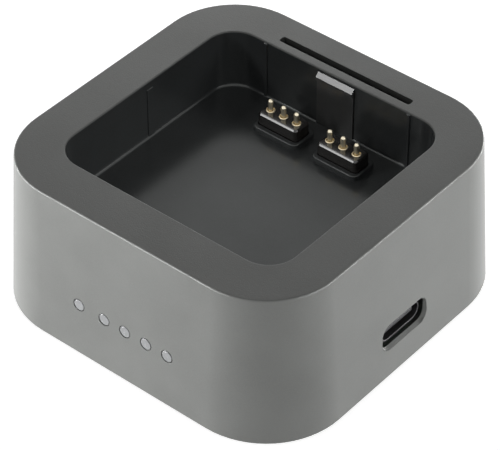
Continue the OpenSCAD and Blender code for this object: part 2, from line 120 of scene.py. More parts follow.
def pick(piece: Object, kind: Pick, test: Test) -> int:
    """Enter edit mode and select the vertices or edges that pass a test.

    Args:
        piece: The object to edit.
        kind: What is tested and selected.
        test: Takes the place of a vertex or the middle of an edge.

    Returns:
        How many were selected.
    """
    edit(piece, kind)
    mesh = bmesh.from_edit_mesh(piece.data)
    points = kind is Pick.VERTS
    count = 0
    for item in mesh.verts if points else mesh.edges:
        if test(item.co if points else (item.verts[0].co + item.verts[1].co) / 2):
            item.select_set(True)
            count += 1
    mesh.select_flush_mode()
    bmesh.update_edit_mesh(piece.data)
    return count


def plate(name: str, half_x: float, half_y: float, z: float, corner: float = 0, steps: int = 12,
          centre: tuple[float, float] = (0, 0)) -> Object:
    """Lay a flat plate with round corners, facing up.

    Args:
        name: The new object's name.
        half_x: Half its size along X.
        half_y: Half its size along Y.
        z: Its height.
        corner: The radius of its corners.
        steps: Edges round each corner.
        centre: Its middle in X and Y.

    Returns:
        The plate, with its face still selected in edit mode.
    """
    deselect()
    bpy.ops.mesh.primitive_plane_add(size=2, location=(*centre, z))
    piece = bpy.context.object
    piece.name = name
    piece.scale = (half_x, half_y, 1)
    settle(piece)
    if corner:
        edit(piece, Pick.VERTS)
        select_all()
        bpy.ops.mesh.bevel(offset=corner, segments=steps, profile=0.5, affect="VERTICES")
    edit(piece, Pick.FACES)
    select_all()
    return piece


def disc(name: str, radius: float, place: Place, sides: int = 32,
         turn: Place = (0, 0, 0)) -> Object:
    """Lay a round plate, facing up before it is turned, left selected in edit mode.

    Args:
        name: The new object's name.
        radius: Its radius.
        place: Its middle.
        sides: Edges round it.
        turn: Its rotation in degrees about X, Y and Z.

    Returns:
        The disc.
    """
    deselect()
    bpy.ops.mesh.primitive_circle_add(vertices=sides, radius=radius, fill_type="NGON", location=place,
                                      rotation=[math.radians(a) for a in turn])
    piece = bpy.context.object
    piece.name = name
    settle(piece)
    edit(piece, Pick.FACES)
    select_all()
    return piece


def rise(steps: Steps) -> None:
    """Inset the selected face again and again, each time by (inwards, upwards).

    A negative inset widens the face, and starts as far down the sides below it.
    """
    for inwards, upwards in steps:
        if abs(inwards) < SMALL:
            bpy.ops.mesh.extrude_region_move()
            normal = selected_normal()
            bpy.ops.transform.translate(value=normal * upwards)
        else:
            bpy.ops.mesh.inset(thickness=abs(inwards), depth=upwards, use_even_offset=True,
                               use_outset=inwards < 0)


def selected_normal() -> Vector:
    """Give the mean normal of the faces selected in edit mode."""
    mesh = bmesh.from_edit_mesh(bpy.context.object.data)
    return sum((f.normal for f in mesh.faces if f.select), Vector()).normalized()


def rounding(radius: float, count: int, hollow: bool = False, down: bool = False) -> Profile:
    """Give the inset steps of a rounded edge.

    Args:
        radius: The radius of the edge.
        count: How many steps.
        hollow: Whether it starts along the face and turns away from it.
        down: Whether it runs against the face's normal.

    Returns:
        Steps of (inwards, upwards) that add up to the radius both ways.
    """
    angles = [math.pi / 2 * k / count for k in range(count + 1)]
    rows = []
    for a, b in zip(angles, angles[1:]):
        slow, fast = radius * (math.cos(a) - math.cos(b)), radius * (math.sin(b) - math.sin(a))
        rows.append((fast, slow) if hollow else (slow, fast))
    return [(inwards, -upwards if down else upwards) for inwards, upwards in rows]


def close_shell(piece: Object) -> None:
    """Fill every open edge, merge doubles and point all faces outwards."""
    edit(piece, Pick.EDGES)
    bpy.ops.mesh.select_non_manifold(extend=False, use_wire=False, use_multi_face=False,
                                     use_non_contiguous=False, use_verts=False)
    if any(e.select for e in bmesh.from_edit_mesh(piece.data).edges):
        bpy.ops.mesh.edge_face_add()
    tidy_faces(piece)


def tidy_faces(piece: Object) -> None:
    """Merge doubles and point all faces outwards."""
    edit(piece, Pick.VERTS)
    select_all()
    bpy.ops.mesh.remove_doubles(threshold=MERGE)
    bpy.ops.mesh.normals_make_consistent(inside=False)
    deselect()


def block(name: str, half_x: float, half_y: float, low: float, high: float, corner: float = 0, steps: int = 8,
          centre: tuple[float, float] = (0, 0), edge: float = 0) -> Object:
    """Raise an upright block with round corners and, if wanted, a rounded top edge.

    Args:
        name: The new object's name.
        half_x: Half its size along X.
        half_y: Half its size along Y.
        low: Height of its bottom.
        high: Height of its top.
        corner: Radius of the upright corners.
        steps: Edges round each corner.
        centre: Its middle in X and Y.
        edge: Radius of the top edge.

    Returns:
        The closed block.
    """
    piece = plate(name, half_x, half_y, low, corner, steps, centre)
    rise([(0, high - edge - low)])
    if edge:
        rise(rounding(edge, 3))
    close_shell(piece)
    return piece


def rod(name: str, radius: float, place: Place, length: float, turn: Place = (0, 0, 0),
        sides: int = 32) -> Object:
    """Draw out a round bar from a disc along its normal.

    Args:
        name: The new object's name.
        radius: Its radius.
        place: Middle of its first end.
        length: How far it runs.
        turn: Rotation of the first end in degrees.
        sides: Edges round it.

    Returns:
        The closed bar.
    """
    piece = disc(name, radius, place, sides, turn)
    rise([(0, length)])
    close_shell(piece)
    return piece


def combine(piece: Object, tool: Object, how: str = "DIFFERENCE") -> None:
    """Cut or join a piece with a tool, which is used up."""
    deselect()
    change = piece.modifiers.new(how.lower(), "BOOLEAN")
    change.object = tool
    change.operation = how
    change.solver = "EXACT"
    activate(piece)
    bpy.ops.object.modifier_apply(modifier=change.name)
    bpy.data.objects.remove(tool, do_unlink=True)


def soften(piece: Object, width: float, test: Test, segments: int = 2) -> None:
    """Bevel the edges whose middle passes a test.

    Args:
        piece: The object to edit.
        width: Width of the bevel.
        test: Takes the middle of an edge.
        segments: Steps across the bevel.
    """
    if pick(piece, Pick.EDGES, test):
        bpy.ops.mesh.bevel(offset=width, segments=segments, profile=0.5, affect="EDGES", clamp_overlap=True)
    deselect()


def bevel_all(piece: Object, width: float, segments: int, angle: float) -> None:
    """Round every edge sharper than an angle with a Bevel modifier."""
    change = piece.modifiers.new("edges", "BEVEL")
    change.width = width
    change.segments = segments
    change.limit_method = "ANGLE"
    change.angle_limit = math.radians(angle)
    activate(piece)
    bpy.ops.object.modifier_apply(modifier=change.name)


def spun(name: str, profile: Steps, place: Place, sides: int = 32) -> Object:
    """Turn a profile about an upright axis.

    Args:
        name: The new object's name.
        profile: Points of (radius, height) from the axis at the bottom to the axis at the top.
        place: Where the axis stands.
        sides: Steps round it.

    Returns:
        The turned piece, closed.
    """
    deselect()
    bpy.ops.mesh.primitive_plane_add(size=1, location=place)
    piece = bpy.context.object
    piece.name = name
    settle(piece)
    edit(piece, Pick.VERTS)
    mesh = bmesh.from_edit_mesh(piece.data)
    keep = mesh.verts[:][0]
    keep.co = Vector((place[0] + profile[0][0], place[1], place[2] + profile[0][1]))
    for vert in mesh.verts[:][1:]:
        vert.select_set(True)
    bmesh.update_edit_mesh(piece.data)
    bpy.ops.mesh.delete(type="VERT")
    select_all()
    for (r1, z1), (r2, z2) in zip(profile, profile[1:]):
        bpy.ops.mesh.extrude_region_move()
        bpy.ops.transform.translate(value=(r2 - r1, 0, z2 - z1))
    select_all()
    bpy.ops.mesh.spin(steps=sides, angle=math.tau, center=place, axis=(0, 0, 1))
    tidy_faces(piece)
    return piece


def copied(piece: Object, name: str, shift: Place) -> Object:
    """Copy a piece with a mesh of its own.

    Args:
        piece: The piece to copy.
        name: The copy's name.
        shift: How far it is moved, in its mesh's unit; this goes into the mesh.

    Returns:
        The copy.
    """
    twin = piece.copy()
    twin.data = piece.data.copy()
    twin.name = name
    bpy.context.scene.collection.objects.link(twin)
    twin.data.transform(Matrix.Translation(shift))
    return twin


@dataclass
class Part:
    """What a finished piece carries besides its mesh."""

    body: str
    finish: "Finish"
    replaces: tuple[str, ...]

    @property
    def slot(self) -> str:
        """The slot has its finish's name."""
        return self.finish.name


def complete(piece: Object, part: Part, smooth: float = 32, weighted: bool = True) -> Object:
    """Bring a piece to metres, smooth it, dress it and hang it on its body.

    Args:
        piece: A piece shaped in millimetres.
        part: Its body, finish and the CAD nodes that it stands for.
        smooth: Edges sharper than this many degrees stay sharp.
        weighted: Whether large faces keep their normals flat.

    Returns:
        The finished piece.
    """
    settle(piece)
    piece.data.transform(Matrix.Scale(MILLIMETRE, 4))
    activate(piece)
    bpy.ops.object.shade_smooth_by_angle(angle=math.radians(smooth))
    if weighted:
        change = piece.modifiers.new("normals", "WEIGHTED_NORMAL")
        change.keep_sharp = True
        change.weight = 80
        bpy.ops.object.modifier_apply(modifier=change.name)
    piece.data.name = piece.name
    piece.data.materials.clear()
    piece.data.materials.append(part.finish.material())
    attach(piece, part)
    return piece


def attach(piece: Object, part: Part) -> None:
    """Hang a piece on its body and hide the nodes that it stands for."""
    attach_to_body(piece, part.body)
    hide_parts(*part.replaces)
    log.info("%s rides %s: %d faces", piece.name, part.body, len(piece.data.polygons))


def repeat(piece: Object, name: str, shift: Place, part: Part) -> Object:
    """Copy a finished piece and hang the copy on its own body.

    Args:
        piece: The finished piece.
        name: The copy's name.
        shift: How far the copy is moved, in metres.
        part: The copy's body, finish and the CAD nodes that it stands for.

    Returns:
        The copy.
    """
    twin = copied(piece, name, shift)
    for key in list(twin.keys()):
        if key.startswith("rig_"):
            del twin[key]
    attach(twin, part)
    return twin


# ---- finishes --------------------------------------------------------------


class Group(Enum):
    """Node groups that several finishes share."""

    GRAIN = "moulded_grain"
    EDGES = "worn_edges"
    DUST = "settled_dust"
    MOTTLE = "tone_mottle"


class Tree:
    """A node tree with short ways to add and link nodes."""

    def __init__(self, tree: NodeTree) -> None:
        """Keep the tree and clear it."""
        self.tree = tree
        tree.nodes.clear()

    def add(self, kind: str, inputs: dict | None = None, **settings: object) -> Node:
        """Add a node.

        Args:
            kind: The node's type.
            inputs: Socket names or numbers and their values, or the sockets that feed them.
            **settings: The node's own settings.

        Returns:
            The node.
        """
        node = self.tree.nodes.new(kind)
        for name, value in settings.items():
            setattr(node, name, value)
        for name, value in (inputs or {}).items():
            if isinstance(value, NodeSocket):
                self.tree.links.new(value, node.inputs[name])
            else:
                node.inputs[name].default_value = value
        return node

    def math(self, operation: str, first: object, second: object = 0.0, third: object = 0.0,
             clamp: bool = False) -> NodeSocket:
        """Add a Math node and give its result."""
        node = self.add("ShaderNodeMath", {0: first, 1: second, 2: third}, operation=operation,
                        use_clamp=clamp)
        return node.outputs[0]

    def times(self, first: object, second: object) -> NodeSocket:
        """Multiply two numbers."""
        return self.math("MULTIPLY", first, second)

    def span(self, value: NodeSocket, low: float, high: float, to_low: float = 0.0,
             to_high: float = 1.0) -> NodeSocket:
        """Map a value from one range to another, clamped."""
        node = self.add("ShaderNodeMapRange", {0: value, 1: low, 2: high, 3: to_low, 4: to_high}, clamp=True)
        return node.outputs[0]

    def blend(self, factor: object, first: object, second: object) -> NodeSocket:
        """Mix two numbers."""
        return self.add("ShaderNodeMix", {0: factor, 2: first, 3: second}, data_type="FLOAT").outputs[0]

    def mix(self, factor: object, first: object, second: object, blend: str = "MIX") -> NodeSocket:
        """Mix two colours."""
        node = self.add("ShaderNodeMix", {0: factor, 6: first, 7: second}, data_type="RGBA", blend_type=blend)
        return node.outputs[2]

    def group(self, group: Group, inputs: dict | None = None) -> Node:
        """Place a shared group."""
        return self.add("ShaderNodeGroup", inputs, node_tree=shared_group(group))

    def mottle(self, place: NodeSocket, scale: float) -> NodeSocket:
        """Give a slow tone variation from 0 to 1."""
        return self.group(Group.MOTTLE, {"Vector": place, "Scale": scale}).outputs["Tone"]

    def edges(self, place: NodeSocket, radius: float, scale: float = 900.0) -> NodeSocket:
        """Give a mask of the edges within a radius in metres."""
        return self.group(Group.EDGES, {"Vector": place, "Radius": radius, "Scale": scale}).outputs["Mask"]

    def noise(self, place: NodeSocket, scale: object, detail: float = 2.0,
              roughness: float = 0.5) -> NodeSocket:
        """Give a noise's value."""
        return self.add("ShaderNodeTexNoise", {"Vector": place, "Scale": scale, "Detail": detail,
                                               "Roughness": roughness}).outputs["Fac"]

    def cells(self, place: NodeSocket, scale: object, randomness: float = 1.0) -> NodeSocket:
        """Give the distance to the nearest of scattered points."""
        return self.add("ShaderNodeTexVoronoi", {"Vector": place, "Scale": scale,
                                                 "Randomness": randomness}).outputs["Distance"]

    def upward(self) -> NodeSocket:
        """Give how far the surface faces up, from -1 to 1."""
        normal = self.add("ShaderNodeNewGeometry").outputs["Normal"]
        return self.add("ShaderNodeSeparateXYZ", {0: normal}).outputs["Z"]

    def wire(self, shader: Node, base: NodeSocket, rough: NodeSocket, height: NodeSocket | None = None,
             distance: float = 0.0, strength: float = 1.0) -> None:
        """Feed a shader's colour, its roughness and, through a Bump node, its normal.

        Args:
            shader: The shader to feed.
            base: Its colour.
            rough: Its roughness.
            height: The relief, or None for none.
            distance: How deep the relief is, in metres.
            strength: How much of the relief is used.
        """
        self.tree.links.new(base, shader.inputs["Base Color"])
        self.tree.links.new(rough, shader.inputs["Roughness"])
        if height is not None:
            bump = self.add("ShaderNodeBump", {"Height": height, "Distance": distance, "Strength": strength})
            self.tree.links.new(bump.outputs[0], shader.inputs["Normal"])


def new_group(name: str, inputs: dict[str, tuple[str, object]],
              outputs: dict[str, str]) -> tuple[NodeTree, Tree, Node, Node]:
    """Make an empty node group with named sockets.

    Args:
        name: The group's name.
        inputs: Socket names with their types and default values.
        outputs: Socket names with their types.

    Returns:
        The group, its tree and its input and output nodes.
    """
    made = bpy.data.node_groups.new(name, "ShaderNodeTree")
    for label, (kind, value) in inputs.items():
        socket = made.interface.new_socket(label, in_out="INPUT", socket_type=kind)
        if value is not None:
            socket.default_value = value
    for label, kind in outputs.items():
        made.interface.new_socket(label, in_out="OUTPUT", socket_type=kind)
    tree = Tree(made)
    return made, tree, tree.add("NodeGroupInput"), tree.add("NodeGroupOutput")


FLOAT = "NodeSocketFloat"
VECTOR = "NodeSocketVector"


def grain_group() -> NodeTree:
    """Make the fine pitted grain of a moulded surface: its height, and a painted sparkle that lightens the
    colour where the fine noise is high.
    """
    made, tree, given, out = new_group(
        Group.GRAIN.value,
        {"Vector": (VECTOR, None), "Scale": (FLOAT, 6000.0), "Pits": (FLOAT, 0.5)},
        {"Height": FLOAT, "Painted sparkle": FLOAT})
    place, scale = given.outputs["Vector"], given.outputs["Scale"]
    fine = tree.noise(place, scale, 4.0, 0.62)
    coarse = tree.noise(place, tree.times(scale, 0.31))
    cells = tree.cells(place, tree.times(scale, 0.8))
    pits = tree.times(tree.span(cells, 0.05, 0.45, 1.0, 0.0), given.outputs["Pits"])
    height = tree.math("SUBTRACT", tree.math("ADD", fine, tree.times(coarse, 0.6)), pits)
    tree.tree.links.new(height, out.inputs["Height"])
    tree.tree.links.new(tree.span(fine, 0.35, 0.68), out.inputs["Painted sparkle"])
    return made


def edges_group() -> NodeTree:
    """Make a mask of the edges, broken up by noise: it drives edge wear and polish, and the painted
    highlights and painted shade that finishes put along edges.
    """
    made, tree, given, out = new_group(
        Group.EDGES.value,
        {"Vector": (VECTOR, None), "Radius": (FLOAT, 0.0003), "Scale": (FLOAT, 900.0)},
        {"Mask": FLOAT})
    bevel = tree.add("ShaderNodeBevel", {"Radius": given.outputs["Radius"]}, samples=4)
    plain = tree.add("ShaderNodeNewGeometry").outputs["Normal"]
    turn = tree.add("ShaderNodeVectorMath", {0: bevel.outputs[0], 1: plain}, operation="DOT_PRODUCT")
    edge = tree.span(turn.outputs["Value"], 0.995, 0.86)
    noise = tree.noise(given.outputs["Vector"], given.outputs["Scale"], 3.0)
    broken = tree.span(noise, 0.32, 0.62, 0.45, 1.0)
    tree.tree.links.new(tree.times(edge, broken), out.inputs["Mask"])
    return made


def dust_group() -> NodeTree:
    """Make a mask of the specks and thin film that settle on what faces up."""
    made, tree, given, out = new_group(
        Group.DUST.value,
        {"Vector": (VECTOR, None), "Scale": (FLOAT, 700.0), "Amount": (FLOAT, 0.5)},
        {"Mask": FLOAT})
    place, scale = given.outputs["Vector"], given.outputs["Scale"]
    film = tree.noise(place, tree.times(scale, 0.12), 4.0)
    specks = tree.cells(place, scale)
    keep = tree.noise(place, tree.times(scale, 0.5))
    dots = tree.times(tree.span(specks, 0.16, 0.08), tree.span(keep, 0.6, 0.66))
    whole = tree.math("ADD", tree.span(film, 0.45, 0.75, 0.0, 0.35), dots, clamp=True)
    fallen = tree.times(whole, tree.span(tree.upward(), 0.3, 0.95))
    tree.tree.links.new(tree.times(fallen, given.outputs["Amount"]), out.inputs["Mask"])
    return made


def mottle_group() -> NodeTree:
    """Make a slow tone variation from 0 to 1."""
    made, tree, given, out = new_group(
        Group.MOTTLE.value, {"Vector": (VECTOR, None), "Scale": (FLOAT, 90.0)}, {"Tone": FLOAT})
    slow = tree.noise(given.outputs["Vector"], given.outputs["Scale"], 5.0, 0.55)
    tree.tree.links.new(tree.span(slow, 0.3, 0.7), out.inputs["Tone"])
    return made


GROUP_MAKERS = {Group.GRAIN: grain_group, Group.EDGES: edges_group, Group.DUST: dust_group,
                Group.MOTTLE: mottle_group}


def shared_group(group: Group) -> NodeTree:
    """Give a shared group, made at its first use."""
    return bpy.data.node_groups.get(group.value) or GROUP_MAKERS[group]()


def tint(colour: Sequence[float], factor: float) -> tuple[float, float, float, float]:
    """Scale a colour and add full alpha."""
    return (*(min(1.0, c * factor) for c in colour), 1.0)


@dataclass(frozen=True)
class Finish:
    """A finish with its own material, built once."""

    name: str
    colour: tuple[float, float, float]
    roughness: float = 0.5

    def material(self) -> bpy.types.Material:
        """Give the finish's material, made at its first use."""
        label = f"{self.name}_dressed"
        found = bpy.data.materials.get(label)
        if found:
            return found
        made = bpy.data.materials.new(label)
        made.use_nodes = True
        made.diffuse_color = tint(self.colour, 1)
        tree = Tree(made.node_tree)
        out = tree.add("ShaderNodeOutputMaterial")
        shader = tree.add("ShaderNodeBsdfPrincipled",
                          {"Base Color": tint(self.colour, 1), "Roughness": self.roughness})
        tree.tree.links.new(shader.outputs[0], out.inputs[0])
        self.dress(tree, shader, tree.add("ShaderNodeTexCoord").outputs["Object"])
        return made

    def tones(self, tree: Tree, factor: NodeSocket, low: float, high: float) -> NodeSocket:
        """Mix the colour scaled by one number with the colour scaled by another."""
        return tree.mix(factor, tint(self.colour, low), tint(self.colour, high))

    def roughen(self, tree: Tree, factor: NodeSocket, less: float, more: float) -> NodeSocket:
        """Vary the roughness from so much less to so much more."""
        return tree.span(factor, 0, 1, self.roughness - less, self.roughness + more)

    def dress(self, tree: Tree, shader: Node, place: NodeSocket) -> None:
        """Add what varies over the surface; each finish has its own."""


@dataclass(frozen=True)
class Box:
    """An upright box round the origin's axes, in metres, where a moulding is polished and its colour is
    darkened as painted shade.
    """

    half_x: float
    half_y: float
    middle_y: float
    low: float
    high: float

    def mask(self, tree: Tree, place: NodeSocket) -> NodeSocket:
        """Give 1 inside the box and 0 outside it, with a narrow change between."""
        parts = tree.add("ShaderNodeSeparateXYZ", {0: place}).outputs
        side = tree.span(tree.math("ABSOLUTE", parts["X"]), self.half_x + FADE, self.half_x)
        away = tree.math("ABSOLUTE", tree.math("SUBTRACT", parts["Y"], self.middle_y))
        depth = tree.span(away, self.half_y + FADE, self.half_y)
        above = tree.span(parts["Z"], self.low - FADE, self.low)
        height = tree.times(above, tree.span(parts["Z"], self.high + FADE, self.high))
        return tree.times(tree.times(side, depth), height)


@dataclass(frozen=True)
class Plastic(Finish):
    """Moulded plastic with grain and a painted sparkle, a slow mottle, polished edges with a painted
    highlight, a little dust, and painted shade in a polished box.
    """

    grain_scale: float = 5200.0
    grain_depth: float = 0.00001
    side_grain: float = 1.0
    top_grain: float = 0.0
    top_roughness: float = 0.0
    # How strongly the edges are lightened in the colour as a painted highlight.
    painted_edge_highlight: float = 0.25
    edge_radius: float = 0.00025
    dust: float = 0.15
    dust_tone: tuple[float, float, float] = (0.42, 0.41, 0.39)
    specular: float = 0.5
    specular_tint: tuple[float, float, float] = (1.0, 1.0, 1.0)
    polish_and_shade: "Box | None" = None
    polished_roughness: float = 0.2
    polished_relief: float = 0.1
    bay_painted_shade: tuple[float, float, float] = (0.78, 0.81, 0.86)

    def dress(self, tree: Tree, shader: Node, place: NodeSocket) -> None:
        """Vary tone, roughness and relief over the moulding."""
        shader.inputs["Specular IOR Level"].default_value = self.specular
        shader.inputs["Specular Tint"].default_value = tint(self.specular_tint, 1)
        mottle = tree.mottle(place, 120.0)
        grain = tree.group(Group.GRAIN, {"Vector": place, "Scale": self.grain_scale})
        edges = tree.edges(place, self.edge_radius)
        dust = tree.group(Group.DUST, {"Vector": place, "Amount": self.dust}).outputs["Mask"]
        base = self.tones(tree, mottle, 0.93, 1.07)
        # Painted sparkle: spots of the grain are lightened in the colour, standing for glints.
        base = tree.mix(tree.times(grain.outputs["Painted sparkle"], 0.3), base, tint(self.colour, 1.35))
        # Painted highlight: the edges are lightened in the colour, as if they caught the light.
        base = tree.mix(tree.times(edges, self.painted_edge_highlight), base, tint(self.colour, 2.2))
        base = tree.mix(tree.times(dust, 0.35), base, tint(self.dust_tone, 1))
        facing_up = tree.span(tree.upward(), 0.5, 0.95)
        rough = tree.math("ADD", self.roughen(tree, mottle, 0.03, 0.03),
                          tree.times(facing_up, self.top_roughness))
        rough = tree.math("SUBTRACT", rough, tree.times(edges, 0.12))
        rough = tree.math("ADD", rough, tree.times(dust, 0.25), clamp=True)
        relief = tree.math("ADD", self.side_grain, tree.times(facing_up, self.top_grain))
        if self.polish_and_shade:
            inside = self.polish_and_shade.mask(tree, place)
            low, high = self.polished_roughness - 0.01, self.polished_roughness + 0.015
            smooth = tree.span(mottle, 0, 1, low, high)
            rough = tree.blend(inside, rough, tree.math("ADD", smooth, tree.times(dust, 0.1)))
            relief = tree.blend(inside, relief, self.polished_relief)
            # Painted shade: inside the box the colour is darkened, standing for the shade of the bay's walls.
            base = tree.mix(inside, base, tint(self.bay_painted_shade, 1), "MULTIPLY")
        height = tree.times(grain.outputs["Height"], relief)
        tree.wire(shader, base, rough, height, self.grain_depth)


@dataclass(frozen=True)
class Plating(Finish):
    """Plated metal: fine turning marks, dull patches and brighter edges."""

    tarnish: tuple[float, float, float] = (0.3, 0.2, 0.1)
    tarnish_share: float = 0.25
    marks: float = 9000.0
    mark_depth: float = 0.000002

    def dress(self, tree: Tree, shader: Node, place: NodeSocket) -> None:
        """Vary tone, roughness and relief over the metal."""
        shader.inputs["Metallic"].default_value = 1.0
        mottle = tree.mottle(place, 1400.0)
        stretched = tree.add("ShaderNodeMapping", {0: place, 3: (0.15, 0.15, 1.0)})
        turned = tree.noise(stretched.outputs[0], self.marks, 3.0)
        edges = tree.edges(place, 0.00012, 4000.0)
        dull = tree.times(tree.span(mottle, 0.45, 1.0), self.tarnish_share)
        base = tree.mix(dull, tint(self.colour, 1.0), tint(self.tarnish, 1.0))
        base = tree.mix(tree.times(edges, 0.4), base, tint(self.colour, 1.25))
        rough = tree.math("ADD", tree.span(turned, 0.3, 0.7, self.roughness - 0.05, self.roughness + 0.06),
                          tree.times(dull, 0.5))
        tree.wire(shader, base, rough, turned, self.mark_depth, 0.6)


@dataclass(frozen=True)
class Rubber(Finish):
    """Soft rubber: matt, faintly pitted, with dust in it."""

    def dress(self, tree: Tree, shader: Node, place: NodeSocket) -> None:
        """Vary tone, roughness and relief over the rubber."""
        mottle = tree.mottle(place, 500.0)
        grain = tree.group(Group.GRAIN, {"Vector": place, "Scale": 3500.0, "Pits": 0.9})
        edges = tree.edges(place, 0.0003)
        base = self.tones(tree, mottle, 0.85, 1.25)
        base = tree.mix(tree.times(edges, 0.35), base, (0.12, 0.115, 0.11, 1.0))
        rough = self.roughen(tree, mottle, 0.06, 0.06)
        tree.wire(shader, base, rough, grain.outputs["Height"], 0.00002)


@dataclass(frozen=True)
class ClearPlastic(Finish):
    """Milky clear plastic of the light guide, with painted shade darkening its edges so its heart looks
    brighter.
    """

    def dress(self, tree: Tree, shader: Node, place: NodeSocket) -> None:
        """Vary the milkiness and roughness of the guide, and darken its edges as painted shade."""
        shader.inputs["IOR"].default_value = 1.49
        shader.inputs["Coat Weight"].default_value = 0.4
        mottle = tree.mottle(place, 900.0)
        edges = tree.edges(place, 0.0002, 3000.0)
        base = self.tones(tree, mottle, 0.92, 1.06)
        # Painted shade: the guide's edges are darkened in the colour.
        base = tree.mix(tree.times(edges, 0.5), base, tint(self.colour, 0.6))
        tree.wire(shader, base, self.roughen(tree, mottle, 0.05, 0.08))


@dataclass(frozen=True)
class Board(Finish):
    """Circuit board: solder mask over faint tracks, with small plated holes whose bores are painted dark as
    painted shade.
    """

    copper: tuple[float, float, float] = (0.65, 0.5, 0.22)

    def dress(self, tree: Tree, shader: Node, place: NodeSocket) -> None:
        """Draw tracks under the mask and plated rings in it, with painted shade in the holes' bores."""
        bricks = tree.add("ShaderNodeTexBrick", {
            "Vector": place, "Scale": 450.0, "Mortar Size": 0.03, "Color1": (0, 0, 0, 1),
            "Color2": (0.25, 0.25, 0.25, 1), "Mortar": (1, 1, 1, 1)}, offset=0.37, squash=1.4)
        tracks = bricks.outputs["Color"]
        holes = tree.cells(place, 380.0, 0.7)
        ring = tree.span(holes, 0.13, 0.11)
        painted_bore_shade = tree.span(holes, 0.06, 0.05)
        mottle = tree.mottle(place, 300.0)
        base = self.tones(tree, mottle, 0.85, 1.1)
        base = tree.mix(tree.times(tracks, 0.5), base, tint(self.colour, 1.9))
        base = tree.mix(ring, base, tint(self.copper, 1.0))
        # Painted shade: the bore of each hole is painted near black instead of being cut.
        base = tree.mix(painted_bore_shade, base, (0.01, 0.01, 0.01, 1.0))
        rough = self.roughen(tree, mottle, 0.05, 0.1)
        tree.tree.links.new(tree.math("SUBTRACT", ring, painted_bore_shade, clamp=True), shader.inputs["Metallic"])
        tree.wire(shader, base, rough, tracks, 0.00003, 0.7)


@dataclass(frozen=True)
class Winding(Finish):
    """Enamelled wire wound in close turns, with painted shade between the turns."""

    pitch: float = 0.0004

    def dress(self, tree: Tree, shader: Node, place: NodeSocket) -> None:
        """Raise one ridge for each turn of the wire, and darken the colour between turns as painted shade."""
        shader.inputs["Metallic"].default_value = 0.9
        shader.inputs["Coat Weight"].default_value = 0.5
        values = {"Vector": place, "Scale": 0.314 / self.pitch, "Distortion": 0.4}
        wave = tree.add("ShaderNodeTexWave", values, wave_type="BANDS", bands_direction="Z",
                        wave_profile="SIN").outputs["Fac"]
        # Painted shade: the colour darkens in the grooves between the turns.
        base = self.tones(tree, wave, 0.35, 1.1)
        tree.wire(shader, base, tree.span(wave, 0, 1, 0.5, self.roughness), wave, self.pitch / 3)


# The bay: its walls and floor are polished, and their colour is darkened as painted shade.
BAY = Box(0.0210, 0.0202, 0.0002, 0.0150, 0.0262)
# Patches appear where the roughness of the sides crosses 0.275, so it stays above that.
HOUSING = Plastic("housing_plastic", (0.118, 0.1205, 0.116), 0.31, side_grain=0.35, top_grain=1.8,
                  top_roughness=0.28, painted_edge_highlight=0.1, specular_tint=(0.97, 1.0, 0.975), polish_and_shade=BAY)
COVER = Plastic("cover_plastic", (0.085, 0.086, 0.087), 0.55)
LATCH = Plastic("latch_plastic", (0.138, 0.14, 0.14), 0.15, grain_depth=0.000002, painted_edge_highlight=0.6,
                edge_radius=0.00015, specular=0.6)
BLOCK = Plastic("block_plastic", (0.03, 0.025, 0.022), 0.14, grain_depth=0.000001, painted_edge_highlight=0.6,
                edge_radius=0.00015, dust=0.1, specular=0.9)
CHIP_BLACK = Plastic("chip_black", (0.02, 0.02, 0.021), 0.5, grain_scale=9000.0, grain_depth=0.000006)
CHIP_WHITE = Plastic("chip_white", (0.75, 0.75, 0.72), 0.35, grain_depth=0.000003)
FERRITE = Plastic("ferrite", (0.05, 0.05, 0.052), 0.5, grain_scale=4000.0, grain_depth=0.00001)
SOCKET_PLASTIC = Plastic("socket_plastic", (0.02, 0.02, 0.022), 0.4, grain_depth=0.000003, dust=0.1)
GOLD = Plating("contact_gold", (0.83, 0.62, 0.28), 0.24)
BARREL = Plating("barrel_gold", (0.84, 0.72, 0.5), 0.33, tarnish=(0.4, 0.3, 0.16))
PLUNGER = Plating("plunger_gold", (0.86, 0.78, 0.6), 0.33, tarnish=(0.42, 0.34, 0.2), tarnish_share=0.15)
STEEL = Plating("screw_steel", (0.55, 0.55, 0.56), 0.3, tarnish=(0.25, 0.24, 0.23))
SOCKET_STEEL = Plating("socket_steel", (0.07, 0.07, 0.073), 0.45, tarnish=(0.05, 0.049, 0.048))
SPRING_STEEL = Plating("spring_steel", (0.6, 0.6, 0.6), 0.25, tarnish=(0.3, 0.29, 0.28))
CAN = Plating("capacitor_can", (0.7, 0.7, 0.71), 0.32, tarnish=(0.4, 0.4, 0.4), marks=3000.0)
FOOT = Rubber("foot_rubber", (0.028, 0.028, 0.029), 0.8)
GUIDE = ClearPlastic("light_guide_clear", (0.2, 0.205, 0.21), 0.24)
BOARD = Board("board_green", (0.012, 0.09, 0.04), 0.35)
COIL = Winding("coil_copper", (0.75, 0.36, 0.16), 0.25)

BODY = "charger_body"
CORNERS = ((-1, -1), (-1, 1), (1, -1), (1, 1))
SCREW_AT = (22, 21.5)  # the cover's screws and their bosses, from the middle
LIGHT_X = (-8.45, -3.55, 0.45, 4.45, 8.45)
LIGHT_Z = 9.5
PORT_Z = 7.7


# ---- sub-assemblies --------------------------------------------------------


def corners(half_x: float, half_y: float, z: float) -> list[Place]:
    """Give the four places at the same distances each way from the middle."""
    return [(sx * half_x, sy * half_y, z) for sx, sy in CORNERS]


def lay(piece: Object, x: float) -> Object:
    """Turn an upright piece to run along +X from a place at the socket's height."""
    piece.rotation_euler = (0, math.radians(90), 0)
    piece.location = (x, 0, PORT_Z)
    settle(piece)
    return piece


